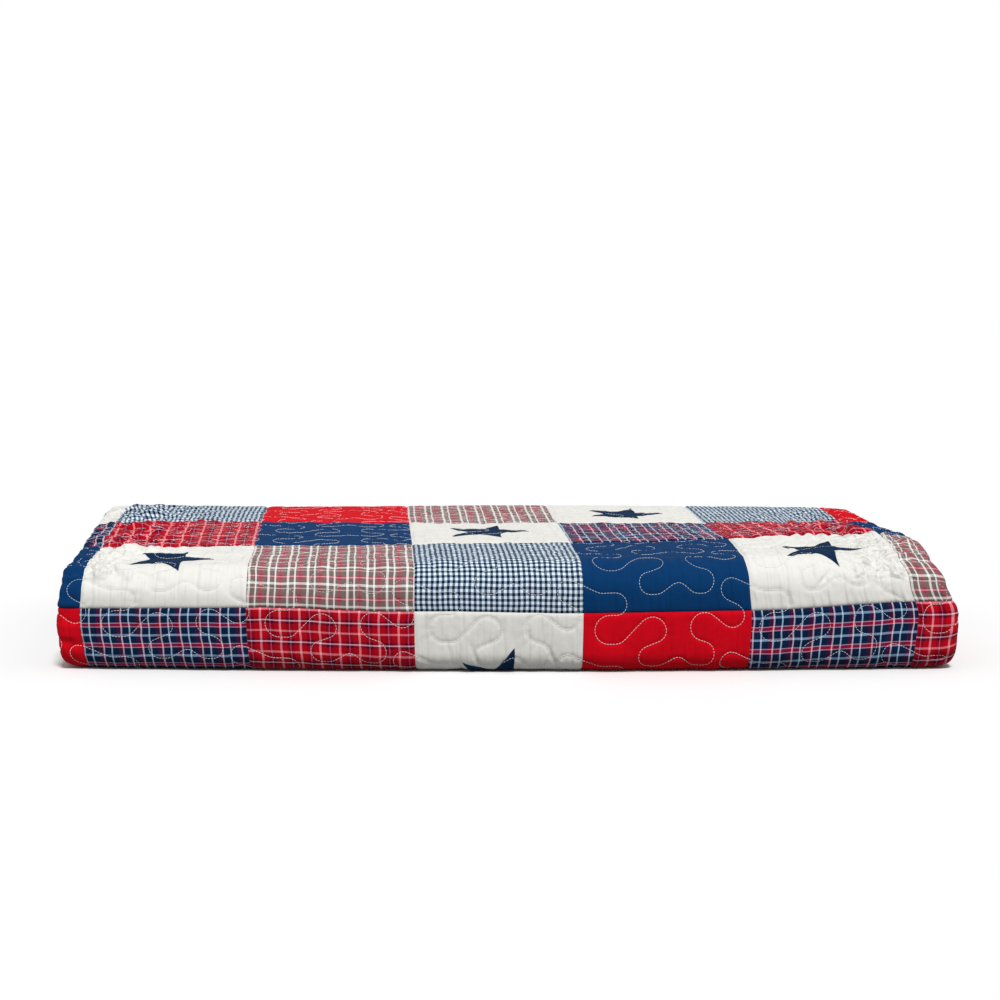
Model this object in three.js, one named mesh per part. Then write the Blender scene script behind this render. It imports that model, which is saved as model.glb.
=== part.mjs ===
// A bed quilt, folded in thirds across its width and then to six layers along its length,
// so that one smooth outer layer wraps the whole front of the stack.
// Millimetres, +Z up. +X runs along the long side, the front faces -Y, and the origin is the
// middle of the box's underside.
import * as THREE from "three";

// Driving dimensions.
const FOLDED_WIDTH = 706; // the stack's length along X
const QUILT_LENGTH = 2184; // the cloth's length along the second folding
const CLOTH_THICKNESS = 4; // pieced top, filling and backing, quilted together
const PLY_GAP = 0.7; // between the plies that the first folding makes
const LAYER_GAP = 1; // between the layers that the second folding makes
const FRONT_BOTTOM_RADIUS = 10; // of the outer layer's middle line where it leaves the surface
const FRONT_TOP_RADIUS = 19; // of the same line where it turns on to the top
const INNER_FOLD_RADIUS = 12; // of the second layer's turn at the front
const BOW = 14; // how far the middle of the front stands ahead of its ends
const SKEW = 0.06; // how far the top drifts to the left, for each mm towards the back
const TOP_DROOP = 0.03; // the part of its height that the top loses at the very ends
const DROOP_REACH = 42; // how far from the ends the top begins to droop
const BOTTOM_LIFT = 5; // how far the lowest fold rises off the surface at the very ends
const LIFT_REACH = 18; // how far from the ends it begins to rise
const INSET_FADE = 6; // how fast the ends' insets fade towards the middle, as a power
const FREE_EDGE_INSET = 18; // from the middle ply's edge to the right-hand fold
const INNER_EDGE_INSET = 14; // from the inner ply's edge to the left-hand fold
const THIRD_FRONT_INSET = 2; // how much further back the third layers turn than the second do
const LOWER_BACK_INSET = 5; // how far the lower back fold stands ahead of the upper one
const START_INSET = 12; // from the back fold to the bound end under the stack
const END_INSET = 16; // from the back fold to the bound end in the middle of the stack

// The height's unevenness, as parts of the height.
const EVEN_RISE = 0.005; // everywhere
const RIGHT_RISE = 0.05; // at the front of the right-hand end, and as much less at the left one
const LEFT_RISE = 0.08; // towards the back of the left-hand end
const LEFT_RISE_FULL = 0.625; // the part of the depth at which that is reached
const ROLL_ACROSS = { size: 0.012, turn: 4.1, start: 1.2 }; // a wave from end to end
const ROLL_BACK = { size: 0.01, turn: 3.3, depthTurn: 4 }; // a wave that slants to the back
// A swell near the right-hand end: its size, its middle from end to end (-1 to 1) and from
// front to back (0 to 1), and how far it reaches both ways.
const SWELL = { size: 0.1, across: 0.8, back: 0.32, reachAcross: 0.4, reachBack: 0.24 };

const PLY_PITCH = CLOTH_THICKNESS + PLY_GAP;
const STRIP_THICKNESS = 3 * CLOTH_THICKNESS + 2 * PLY_GAP;
const LAYER_PITCH = STRIP_THICKNESS + LAYER_GAP;
const HALF_WIDTH = FOLDED_WIDTH / 2;
const STACK_HEIGHT = 6 * STRIP_THICKNESS + 5 * LAYER_GAP;

// Height of each layer's middle line, from the lowest layer up.
const layerHeight = (layer) => STRIP_THICKNESS / 2 + layer * LAYER_PITCH;

// How far the two ends of the folded strip stand in from the straight, along its length, as a
// fraction of that length. Outer layer first: its underside, its front, its top, and so on in.
const END_WANDER = [
  { along: 0.0, left: 5, right: 8 },
  { along: 0.08, left: 7, right: 3 },
  { along: 0.155, left: 2, right: 1 },
  { along: 0.178, left: 0, right: 0 },
  { along: 0.19, left: 2, right: 10 },
  { along: 0.2, left: 3, right: 17 },
  { along: 0.23, left: 6, right: 10 },
  { along: 0.27, left: 5, right: 15 },
  { along: 0.34, left: 3, right: 10 },
  { along: 0.42, left: 9, right: 6 },
  { along: 0.5, left: 4, right: 11 },
  { along: 0.58, left: 10, right: 4 },
  { along: 0.67, left: 5, right: 9 },
  { along: 0.76, left: 12, right: 6 },
  { along: 0.84, left: 7, right: 10 },
  { along: 0.92, left: 9, right: 5 },
  { along: 1.0, left: 6, right: 8 },
];

// Rounds each corner of an open line. Corners hold a, b and, past the first and last, a radius
// and its steps; steps on a straight are in `run`, on the corner that ends it.
function roundedLine(corners) {
  const points = corners.map(({ a, b }) => new THREE.Vector2(a, b));
  const stations = [];
  const put = (point, direction) => {
    const normal = new THREE.Vector2(-direction.y, direction.x);
    stations.push({ point: point.clone(), normal });
  };
  let straightStart = points[0];
  for (let i = 1; i < points.length; i++) {
    const direction = points[i].clone().sub(points[i - 1]).normalize();
    const corner = corners[i];
    const last = i === points.length - 1;
    const straightEnd = last
      ? points[i]
      : points[i].clone().addScaledVector(direction, -corner.radius);
    if (i === 1) put(straightStart, direction);
    for (let k = 1; k <= corner.run; k++) {
      put(straightStart.clone().lerp(straightEnd, k / corner.run), direction);
    }
    if (last) break;
    const next = points[i + 1].clone().sub(points[i]).normalize();
    const turn = Math.sign(direction.cross(next));
    const centre = straightEnd.clone();
    centre.x += -direction.y * turn * corner.radius;
    centre.y += direction.x * turn * corner.radius;
    const arm = straightEnd.clone().sub(centre);
    for (let k = 1; k <= corner.steps; k++) {
      const angle = (turn * (Math.PI / 2) * k) / corner.steps;
      const origin = new THREE.Vector2(0, 0);
      const spoke = arm.clone().rotateAround(origin, angle);
      const heading = direction.clone().rotateAround(origin, angle);
      put(centre.clone().add(spoke), heading);
    }
    straightStart = stations[stations.length - 1].point;
  }
  return stations;
}

const lineLength = (stations) =>
  stations
    .slice(1)
    .reduce((sum, { point }, i) => sum + point.distanceTo(stations[i].point), 0);

// The first folding, seen from the end of the strip: a is X and b is the height above the
// strip's middle. The middle ply comes first, then the outer ply, then the inner one, which the
// larger right-hand fold carries round the free edge of the middle ply.
const leftFold = -HALF_WIDTH + CLOTH_THICKNESS / 2;
const rightFold = HALF_WIDTH - CLOTH_THICKNESS / 2;
const smallTurn = { radius: PLY_PITCH / 2, steps: 2 };
const largeTurn = { radius: PLY_PITCH, steps: 3 };
const acrossSection = roundedLine([
  { a: HALF_WIDTH - FREE_EDGE_INSET, b: 0 },
  { a: leftFold, b: 0, run: 5, ...smallTurn },
  { a: leftFold, b: PLY_PITCH, run: 1, ...smallTurn },
  { a: rightFold, b: PLY_PITCH, run: 12, ...largeTurn },
  { a: rightFold, b: -PLY_PITCH, run: 1, ...largeTurn },
  { a: -HALF_WIDTH + INNER_EDGE_INSET, b: -PLY_PITCH, run: 5 },
]);

// The second folding, seen from the right-hand end: a is Y and b is Z, for a given depth from
// the front of the outer layer's middle line to the stack's two back folds.
function foldedPath(depth) {
  const secondFront = LAYER_PITCH;
  const thirdFront = 2 * LAYER_PITCH + THIRD_FRONT_INSET;
  const lowerBack = depth - LOWER_BACK_INSET;
  const backTurn = { radius: LAYER_PITCH / 2, steps: 4 };
  const innerTurn = { radius: INNER_FOLD_RADIUS, steps: 3 };
  return roundedLine([
    { a: depth - START_INSET, b: layerHeight(0) },
    { a: 0, b: layerHeight(0), run: 6, radius: FRONT_BOTTOM_RADIUS, steps: 4 },
    { a: 0, b: layerHeight(5), run: 3, radius: FRONT_TOP_RADIUS, steps: 5 },
    { a: depth, b: layerHeight(5), run: 7, ...backTurn },
    { a: depth, b: layerHeight(4), run: 1, ...backTurn },
    { a: secondFront, b: layerHeight(4), run: 4, ...innerTurn },
    { a: secondFront, b: layerHeight(1), run: 1, ...innerTurn },
    { a: lowerBack, b: layerHeight(1), run: 4, ...backTurn },
    { a: lowerBack, b: layerHeight(2), run: 1, ...backTurn },
    { a: thirdFront, b: layerHeight(2), run: 4, ...backTurn },
    { a: thirdFront, b: layerHeight(3), run: 1, ...backTurn },
    { a: depth - END_INSET, b: layerHeight(3), run: 4 },
  ]);
}

// The depth at which the six layers use up the quilt's whole length.
function depthForLength(length) {
  let shallow = FOLDED_WIDTH / 4;
  let deep = FOLDED_WIDTH;
  while (deep - shallow > 0.01) {
    const middle = (shallow + deep) / 2;
    if (lineLength(foldedPath(middle)) < length) shallow = middle;
    else deep = middle;
  }
  return (shallow + deep) / 2;
}

function wanderAt(along) {
  const next = END_WANDER.findIndex((row) => row.along >= along);
  const high = END_WANDER[Math.max(next, 1)];
  const low = END_WANDER[Math.max(next, 1) - 1];
  const t = THREE.MathUtils.smoothstep(along, low.along, high.along);
  return {
    left: THREE.MathUtils.lerp(low.left, high.left, t),
    right: THREE.MathUtils.lerp(low.right, high.right, t),
  };
}

// Rises from 0 at `reach` from an end of the stack to 1 at that end.
function nearEnd(x, reach) {
  const past = (Math.abs(x) - HALF_WIDTH + reach) / reach;
  return THREE.MathUtils.clamp(past, 0, 1) ** 2;
}

// The height of a spot of the stack, against that of the straight one.
function heightScale(across, back) {
  const right = RIGHT_RISE * across * (1 - back / 2);
  const left = ((LEFT_RISE * (1 - across)) / 2) * Math.min(1, back / LEFT_RISE_FULL);
  const wave = ROLL_ACROSS.size * Math.sin(ROLL_ACROSS.turn * across + ROLL_ACROSS.start);
  const slant = ROLL_BACK.turn * across + ROLL_BACK.depthTurn * back;
  const swellAcross = (across - SWELL.across) / SWELL.reachAcross;
  const swellBack = (back - SWELL.back) / SWELL.reachBack;
  const swell = SWELL.size * Math.exp(-(swellAcross ** 2) - swellBack ** 2);
  return 1 + EVEN_RISE + right + left + wave + ROLL_BACK.size * Math.cos(slant) + swell;
}

// Settles a point of the straight stack into the uneven one: its ends wander and are rounded
// off, its front bows, the top drifts sideways, and the right-hand end and the back stand
// higher. Between its ends the underside stays on the surface.
function settle(point, along, depth) {
  const across = point.x / HALF_WIDTH;
  const back = THREE.MathUtils.clamp(point.y / depth, 0, 1);
  const rise = point.z / STACK_HEIGHT;
  const ends = wanderAt(along);
  const leftPull = ends.left * ((1 - across) / 2) ** INSET_FADE;
  const inset = leftPull - ends.right * ((1 + across) / 2) ** INSET_FADE;
  const droop = 1 - TOP_DROOP * rise * nearEnd(point.x, DROOP_REACH);
  const lift = BOTTOM_LIFT * (1 - rise) ** 2 * nearEnd(point.x, LIFT_REACH);
  return new THREE.Vector3(
    point.x + inset - SKEW * rise * rise * point.y,
    point.y + BOW * across * across * (1 - back),
    point.z * heightScale(across, back) * droop + lift,
  );
}

// Sweeps the first folding along the second, and closes the strip's two bound ends.
function foldedCloth() {
  const depth = depthForLength(QUILT_LENGTH);
  const path = foldedPath(depth);
  const half = CLOTH_THICKNESS / 2;
  const side = (sign) =>
    acrossSection.map(({ point, normal }) => point.clone().addScaledVector(normal, sign * half));
  const outline = [...side(1), ...side(-1).reverse()];
  const ring = outline.length;
  const total = lineLength(path);
  const positions = [];
  let travelled = 0;
  path.forEach(({ point, normal }, j) => {
    if (j > 0) travelled += point.distanceTo(path[j - 1].point);
    for (const { x, y: lift } of outline) {
      const straight = new THREE.Vector3(x, point.x + lift * normal.x, point.y + lift * normal.y);
      positions.push(...settle(straight, travelled / total, depth).toArray());
    }
  });
  const index = [];
  const quad = (p, q, r, s) => index.push(p, q, r, p, r, s);
  for (let j = 0; j + 1 < path.length; j++) {
    for (let i = 0; i < ring; i++) {
      const next = (i + 1) % ring;
      quad(j * ring + i, j * ring + next, (j + 1) * ring + next, (j + 1) * ring + i);
    }
  }
  const lastRing = (path.length - 1) * ring;
  for (let i = 0; i + 1 < ring / 2; i++) {
    const facing = ring - 1 - i;
    quad(i, facing, facing - 1, i + 1);
    quad(lastRing + i, lastRing + i + 1, lastRing + facing - 1, lastRing + facing);
  }
  const geometry = new THREE.BufferGeometry();
  geometry.setAttribute("position", new THREE.Float32BufferAttribute(positions, 3));
  geometry.setIndex(index);
  geometry.computeBoundingBox();
  const box = geometry.boundingBox;
  const centre = box.getCenter(new THREE.Vector3());
  geometry.translate(-centre.x, -centre.y, -box.min.z);
  geometry.computeVertexNormals();
  return geometry;
}

const quiltedCloth = new THREE.MeshStandardMaterial({
  color: 0x0b365e,
  roughness: 0.9,
  metalness: 0,
});

const quilt = new THREE.Mesh(foldedCloth(), quiltedCloth);
quilt.name = "quilt";

const foldedQuilt = new THREE.Group();
foldedQuilt.add(quilt);

export default foldedQuilt;
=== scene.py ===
"""A patchwork quilt with star appliques, folded into a flat stack: its cloth, thread and light.

Metres, +Z up, the front towards -Y. A spot on the flat quilt is (u, v): u runs across the quilt,
along the stack's long side on its outer ply, and v runs along it, up the front of the stack and
back over its top.
"""

import logging
from collections.abc import Callable, Sequence
from dataclasses import dataclass
from enum import Enum
from math import asin, atan2, ceil, cos, floor, inf, pi, radians, remainder, sin

import bpy
import numpy as np
from bpy.types import Material, Node, NodeSocket, NodeTree, Object
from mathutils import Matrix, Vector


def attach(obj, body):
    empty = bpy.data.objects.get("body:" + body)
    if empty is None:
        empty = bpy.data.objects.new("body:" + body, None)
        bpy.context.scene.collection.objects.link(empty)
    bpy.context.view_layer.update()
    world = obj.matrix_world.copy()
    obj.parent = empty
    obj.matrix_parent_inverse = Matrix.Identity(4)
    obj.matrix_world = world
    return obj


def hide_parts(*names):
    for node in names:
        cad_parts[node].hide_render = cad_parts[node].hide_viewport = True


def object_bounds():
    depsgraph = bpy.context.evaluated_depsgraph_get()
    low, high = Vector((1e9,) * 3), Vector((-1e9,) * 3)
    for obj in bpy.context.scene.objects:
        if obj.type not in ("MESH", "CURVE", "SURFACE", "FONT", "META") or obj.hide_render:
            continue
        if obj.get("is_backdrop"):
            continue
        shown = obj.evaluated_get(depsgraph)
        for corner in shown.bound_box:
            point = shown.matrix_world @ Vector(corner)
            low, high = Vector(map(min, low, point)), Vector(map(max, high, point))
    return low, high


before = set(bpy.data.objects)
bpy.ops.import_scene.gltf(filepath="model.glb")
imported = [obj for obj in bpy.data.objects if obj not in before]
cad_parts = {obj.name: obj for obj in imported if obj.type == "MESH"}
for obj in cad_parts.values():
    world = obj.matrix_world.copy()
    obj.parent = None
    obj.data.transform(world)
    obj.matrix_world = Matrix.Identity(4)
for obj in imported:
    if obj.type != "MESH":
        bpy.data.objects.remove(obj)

LOG = logging.getLogger("quilt")
BODY = "root"
CAD_NODE = "quilt"
WEAVE_MAP = "weave"
BAKE_MAP = "OFBake"
TURN = 2 * pi
MM_IN_M = 1000
HAIR = 1e-6

Array = np.ndarray
Colour = tuple[int, int, int]
Pair = tuple[float, float]
Triple = tuple[float, float, float]


def smooth(edge_low: float, edge_high: float, value: Array) -> Array:
    """Rises smoothly from 0 at edge_low to 1 at edge_high.

    Args:
        edge_low: The value at which the result is 0.
        edge_high: The value at which the result is 1.
        value: The values to look up.

    Returns:
        The steps, an array like value.
    """
    t = np.clip((value - edge_low) / (edge_high - edge_low), 0.0, 1.0)
    return t * t * (3 - 2 * t)


def rises(spot: float, edge: Pair, value: Array) -> Array:
    """Rises smoothly from 0 to 1 over an edge that is given by its distances from a spot."""
    return smooth(spot + edge[0], spot + edge[1], value)


def bell(value: Array, reach: float) -> Array:
    """1 where the value is 0, falling away to both sides over reach."""
    return np.exp(-((value / reach) ** 2))


def unit(vectors: Array) -> Array:
    """The same directions as vectors of length 1."""
    return vectors / np.linalg.norm(vectors, axis=-1, keepdims=True)


def blended(grid: Array, line: Array, column: Array, fy: Array, fx: Array) -> Array:
    """Reads a grid between its crossings, where its last line leads on to its first.

    Args:
        grid: The values at its crossings.
        line: The line before each spot.
        column: The column before each spot.
        fy: How far on from its line each spot is, from 0 to 1.
        fx: How far on from its column each spot is.

    Returns:
        The values at the spots.
    """
    onward = (line + 1) % grid.shape[0]
    beside = (column + 1) % grid.shape[1]
    low = grid[line, column] * (1 - fx) + grid[line, beside] * fx
    high = grid[onward, column] * (1 - fx) + grid[onward, beside] * fx
    return low * (1 - fy) + high * fy


@dataclass(frozen=True)
class Noise:
    """Smooth random hills and hollows over the flat quilt, each as large as a cell."""

    cell_u: float
    cell_v: float
    seed: int
    height: float = 1.0
    cells: int = 64

    def at(self, u: Array, v: Array) -> Array:
        """Reads the field.

        Args:
            u: Places across.
            v: Places along.

        Returns:
            The heights.
        """
        lattice = np.random.default_rng(self.seed).uniform(-1, 1, (self.cells, self.cells))
        x = u / self.cell_u
        y = v / self.cell_v
        column = np.floor(x).astype(int)
        line = np.floor(y).astype(int)
        fx = smooth(0, 1, x - column)
        fy = smooth(0, 1, y - line)
        return self.height * blended(lattice, line % self.cells, column % self.cells, fy, fx)


# The folds


@dataclass(frozen=True)
class Corner:
    """A corner of an open line, which RoundedLine rounds off unless it is one of its two ends."""

    a: float
    b: float
    radius: float = 0.0


@dataclass(frozen=True)
class Stretch:
    """One straight or one round of a RoundedLine.

    It begins at a distance along the line, and turns left for 1, right for -1 and not for 0.
    """

    begin: float
    length: float
    start: Pair
    heading: float
    turn: int
    radius: float


class RoundedLine:
    """An open line of straights and rounds, read by the distance along it."""

    def __init__(self, corners: Sequence[Corner], lift: float = 0.0) -> None:
        """Lays the straights and rounds one after another.

        Args:
            corners: The line's corners in order.
            lift: How far to its left distances are measured, as on the outer ply of a strip.
        """
        self.stretches: list[Stretch] = []
        self.length = 0.0
        start = np.array((corners[0].a, corners[0].b))
        for i in range(1, len(corners)):
            corner = np.array((corners[i].a, corners[i].b))
            along = corner - start
            heading = atan2(along[1], along[0])
            straight = float(np.hypot(*along)) - corners[i].radius
            self._add(straight, start, heading, 0, 0.0)
            start = start + straight * np.array((cos(heading), sin(heading)))
            if i + 1 == len(corners):
                break
            onward = np.array((corners[i + 1].a, corners[i + 1].b)) - corner
            bend = remainder(atan2(onward[1], onward[0]) - heading, TURN)
            turn = 1 if bend > 0 else -1
            radius = corners[i].radius
            self._add(abs(bend) * (radius - turn * lift), start, heading, turn, radius)
            start = corner + radius * onward / np.hypot(*onward)

    def _add(
        self, length: float, start: Array, heading: float, turn: int, radius: float
    ) -> None:
        """Puts one more stretch at the line's end."""
        place = tuple(start.tolist())
        self.stretches.append(Stretch(self.length, length, place, heading, turn, radius))
        self.length += length

    def _stretch_at(self, distance: Array) -> Array:
        """The number of the stretch that each distance along the line is in."""
        begins = [part.begin for part in self.stretches]
        return np.clip(np.searchsorted(begins, distance, side="right") - 1, 0, len(begins) - 1)

    def at(self, distance: Array) -> tuple[Array, Array]:
        """Finds points of the line.

        Args:
            distance: Measured distances from the line's start.

        Returns:
            The points and the directions to the line's left, both as arrays of pairs.
        """
        points = np.zeros((len(distance), 2))
        lefts = np.zeros((len(distance), 2))
        place = self._stretch_at(distance)
        for number, part in enumerate(self.stretches):
            inside = place == number
            gone = distance[inside] - part.begin
            if part.turn:
                angle = part.heading + part.turn * (pi / 2) * gone / part.length
                left0 = np.array((-sin(part.heading), cos(part.heading)))
                centre = np.array(part.start) + part.turn * part.radius * left0
                left = np.stack((-np.sin(angle), np.cos(angle)), axis=1)
                points[inside] = centre - part.turn * part.radius * left
                lefts[inside] = left
            else:
                ahead = np.array((cos(part.heading), sin(part.heading)))
                points[inside] = np.array(part.start) + gone[:, None] * ahead
                lefts[inside] = (-ahead[1], ahead[0])
        return points, lefts

    def in_round(self, distance: Array) -> Array:
        """Whether each distance along the line is within one of its rounds."""
        return np.array([part.turn != 0 for part in self.stretches])[self._stretch_at(distance)]

    def marks(self, begin: float, end: float, straight: float, rounds: float) -> Array:
        """Spaces marks along a part of the line, closer where it is round.

        Args:
            begin: Where the marks start.
            end: Where they end.
            straight: The widest step on a straight.
            rounds: The widest step on a round.

        Returns:
            The distances of the marks, both ends included.
        """
        found = [np.array([begin])]
        for part in self.stretches:
            low = max(begin, part.begin)
            high = min(end, part.begin + part.length)
            if high - low < HAIR / 10:
                continue
            steps = max(1, ceil((high - low) / (rounds if part.turn else straight)))
            found.append(np.linspace(low, high, steps + 1)[1:])
        return np.concatenate(found)


@dataclass
class FoldedCloth:
    """The quilt's folds: where each spot of the flat quilt lies in the stack.

    The quilt is folded in thirds across its width, the middle ply first, then the outer one,
    then the inner one, and that strip is folded to six layers.
    """

    plies: int = 3
    layers: int = 6
    folded_width: float = 0.706
    folded_length: float = 2.184
    thickness: float = 0.004
    ply_gap: float = 0.0007
    layer_gap: float = 0.001
    front_bottom_radius: float = 0.010
    front_top_radius: float = 0.019
    inner_fold_radius: float = 0.012
    bow: float = 0.014
    skew: float = 0.06
    top_droop: float = 0.03
    droop_reach: float = 0.042
    bottom_lift: float = 0.005
    lift_reach: float = 0.018
    inset_fade: int = 6
    free_edge_inset: float = 0.018
    inner_edge_inset: float = 0.014
    third_front_inset: float = 0.002
    lower_back_inset: float = 0.005
    start_inset: float = 0.012
    end_inset: float = 0.016
    even_rise: float = 0.005
    right_rise: float = 0.05
    left_rise: float = 0.08
    left_rise_full: float = 0.625
    roll_across: Triple = (0.012, 4.1, 1.2)
    roll_back: Triple = (0.01, 3.3, 4.0)
    swell: float = 0.1
    swell_middle: Pair = (0.8, 0.32)
    swell_reach: Pair = (0.4, 0.24)
    measure_steps: Pair = (0.02, 0.001)
    # Columns: fraction of the strip's length, then how far its left and right ends stand in.
    end_wander: tuple[Triple, ...] = (
        (0.0, 0.005, 0.008), (0.08, 0.007, 0.003), (0.155, 0.002, 0.001), (0.178, 0.0, 0.0),
        (0.19, 0.002, 0.010), (0.2, 0.003, 0.017), (0.23, 0.006, 0.010), (0.27, 0.005, 0.015),
        (0.34, 0.003, 0.010), (0.42, 0.009, 0.006), (0.5, 0.004, 0.011), (0.58, 0.010, 0.004),
        (0.67, 0.005, 0.009), (0.76, 0.012, 0.006), (0.84, 0.007, 0.010), (0.92, 0.009, 0.005),
        (1.0, 0.006, 0.008),
    )

    def __post_init__(self) -> None:
        """Works out the two folded lines and the middle of the stack."""
        self.ply_pitch = self.thickness + self.ply_gap
        self.strip = self.plies * self.thickness + (self.plies - 1) * self.ply_gap
        self.layer_pitch = self.strip + self.layer_gap
        self.height = self.layers * self.strip + (self.layers - 1) * self.layer_gap
        self.half = self.folded_width / 2
        self.across = RoundedLine(self._across_corners())
        self.depth = self._depth_for_length()
        self.along = RoundedLine(self._along_corners(self.depth), self.ply_pitch)
        self.centre = np.zeros(3)
        low, high = self._extent()
        self.centre = np.array(((low[0] + high[0]) / 2, (low[1] + high[1]) / 2, 0.0))

    def _across_corners(self) -> list[Corner]:
        """Lays out the strip's plies, seen from its end.

        Returns:
            Their corners: a is X, b the height above the strip's middle.
        """
        fold = self.half - self.thickness / 2
        pitch = self.ply_pitch
        return [
            Corner(self.half - self.free_edge_inset, 0.0),
            Corner(-fold, 0.0, pitch / 2),
            Corner(-fold, pitch, pitch / 2),
            Corner(fold, pitch, pitch),
            Corner(fold, -pitch, pitch),
            Corner(-self.half + self.inner_edge_inset, -pitch),
        ]

    def _along_corners(self, depth: float) -> list[Corner]:
        """The stack's layers seen from its right-hand end: a is Y, b is Z.

        Args:
            depth: The depth of the strip's middle line.

        Returns:
            The corners of the strip's middle line, from its bound end under the stack.
        """
        level = [self.strip / 2 + i * self.layer_pitch for i in range(self.layers)]
        second = self.layer_pitch
        third = 2 * self.layer_pitch + self.third_front_inset
        back = self.layer_pitch / 2
        lower_back = depth - self.lower_back_inset
        return [
            Corner(depth - self.start_inset, level[0]),
            Corner(0.0, level[0], self.front_bottom_radius),
            Corner(0.0, level[5], self.front_top_radius),
            Corner(depth, level[5], back),
            Corner(depth, level[4], back),
            Corner(second, level[4], self.inner_fold_radius),
            Corner(second, level[1], self.inner_fold_radius),
            Corner(lower_back, level[1], back),
            Corner(lower_back, level[2], back),
            Corner(third, level[2], back),
            Corner(third, level[3], back),
            Corner(depth - self.end_inset, level[3]),
        ]

    def _depth_for_length(self) -> float:
        """Finds the depth at which the layers use up the strip's length.

        Returns:
            The depth of the strip's middle line.
        """
        shallow = self.folded_width / 4
        deep = self.folded_width
        while deep - shallow > HAIR:
            middle = (shallow + deep) / 2
            if RoundedLine(self._along_corners(middle)).length < self.folded_length:
                shallow = middle
            else:
                deep = middle
        return (shallow + deep) / 2

    def _extent(self) -> tuple[Array, Array]:
        """Measures the bare folded cloth.

        Returns:
            The lowest and the highest corner of its box.
        """
        u = self.across.marks(0, self.across.length, *self.measure_steps)
        v = self.along.marks(0, self.along.length, *self.measure_steps)
        faces = [
            self.place(u[None, :], v[:, None], lift).reshape(-1, 3)
            for lift in (-self.thickness / 2, self.thickness / 2)
        ]
        points = np.concatenate(faces)
        return points.min(axis=0), points.max(axis=0)

    def place(self, u: Array, v: Array, lift: Array | float) -> Array:
        """Finds where spots of the flat quilt lie in the folded stack.

        Args:
            u: Places across.
            v: Places along.
            lift: Heights above the middle of the cloth, towards its pieced face.

        Returns:
            The points, with their coordinates on the last axis.
        """
        u, v, lift = np.broadcast_arrays(u, v, lift)
        spot, up = self.across.at(u.ravel())
        spine, out = self.along.at(v.ravel())
        x = spot[:, 0] + lift.ravel() * up[:, 0]
        w = spot[:, 1] + lift.ravel() * up[:, 1]
        y = spine[:, 0] + w * out[:, 0]
        z = spine[:, 1] + w * out[:, 1]
        points = self._settle(x, y, z, v.ravel() / self.along.length) - self.centre
        return points.reshape(*u.shape, 3)

    def _near_end(self, x: Array, reach: float) -> Array:
        """Rises from 0 at reach from an end of the stack to 1 at that end."""
        return np.clip((np.abs(x) - self.half + reach) / reach, 0, 1) ** 2

    def _settle(self, x: Array, y: Array, z: Array, part: Array) -> Array:
        """Settles points of the straight stack into the uneven one, as its solid is.

        Args:
            x: Their X.
            y: Their Y, from the front of the outer layer's middle line.
            z: Their Z.
            part: The part of the strip's length at which they lie.

        Returns:
            The settled points.
        """
        table = np.array(self.end_wander)
        row = np.clip(np.searchsorted(table[:, 0], part), 1, len(table) - 1)
        t = (part - table[row - 1, 0]) / (table[row, 0] - table[row - 1, 0])
        t = smooth(0, 1, t)[:, None]
        ends = table[row - 1, 1:] * (1 - t) + table[row, 1:] * t
        across = x / self.half
        back = np.clip(y / self.depth, 0, 1)
        rise = z / self.height
        inset = ends[:, 0] * ((1 - across) / 2) ** self.inset_fade
        inset -= ends[:, 1] * ((1 + across) / 2) ** self.inset_fade
        scale = self._height_scale(across, back)
        droop = 1 - self.top_droop * rise * self._near_end(x, self.droop_reach)
        lifted = self.bottom_lift * (1 - rise) ** 2 * self._near_end(x, self.lift_reach)
        return np.stack(
            (
                x + inset - self.skew * rise * rise * y,
                y + self.bow * across * across * (1 - back),
                z * scale * droop + lifted,
            ),
            axis=1,
        )

    def _height_scale(self, across: Array, back: Array) -> Array:
        """The height of spots of the stack, against that of the straight one.

        Args:
            across: Their X, from -1 at the left end to 1 at the right.
            back: How far back they are, from 0 to 1.

        Returns:
            The scales.
        """
        right = self.right_rise * across * (1 - back / 2)
        left = self.left_rise * (1 - across) / 2 * np.minimum(1, back / self.left_rise_full)
        size, turn, start = self.roll_across
        wave = size * np.sin(turn * across + start)
        size, turn, depth_turn = self.roll_back
        slant = size * np.cos(turn * across + depth_turn * back)
        over = (across - self.swell_middle[0]) / self.swell_reach[0]
        behind = (back - self.swell_middle[1]) / self.swell_reach[1]
        swell = self.swell * np.exp(-(over**2) - behind**2)
        return 1 + self.even_rise + right + left + wave + slant + swell

    def outer_ply(self) -> Pair:
        """Finds the outer ply.

        Returns:
            Where it starts and where it ends across the quilt.
        """
        straights = [part for part in self.across.stretches if not part.turn]
        middle = max(straights[1:-1], key=lambda part: part.length)
        return middle.begin, middle.begin + middle.length


# The patchwork


class Fabric(Enum):
    """The cloths that the patches are cut from."""

    NAVY_PLAID = "navy_plaid"
    RED_PLAID = "red_plaid"
    GRAY_PLAID = "gray_plaid"
    GINGHAM = "navy_gingham"
    NAVY = "plain_navy"
    RED = "plain_red"
    WHITE = "plain_white"
    BACKING = "plain_backing"


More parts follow.
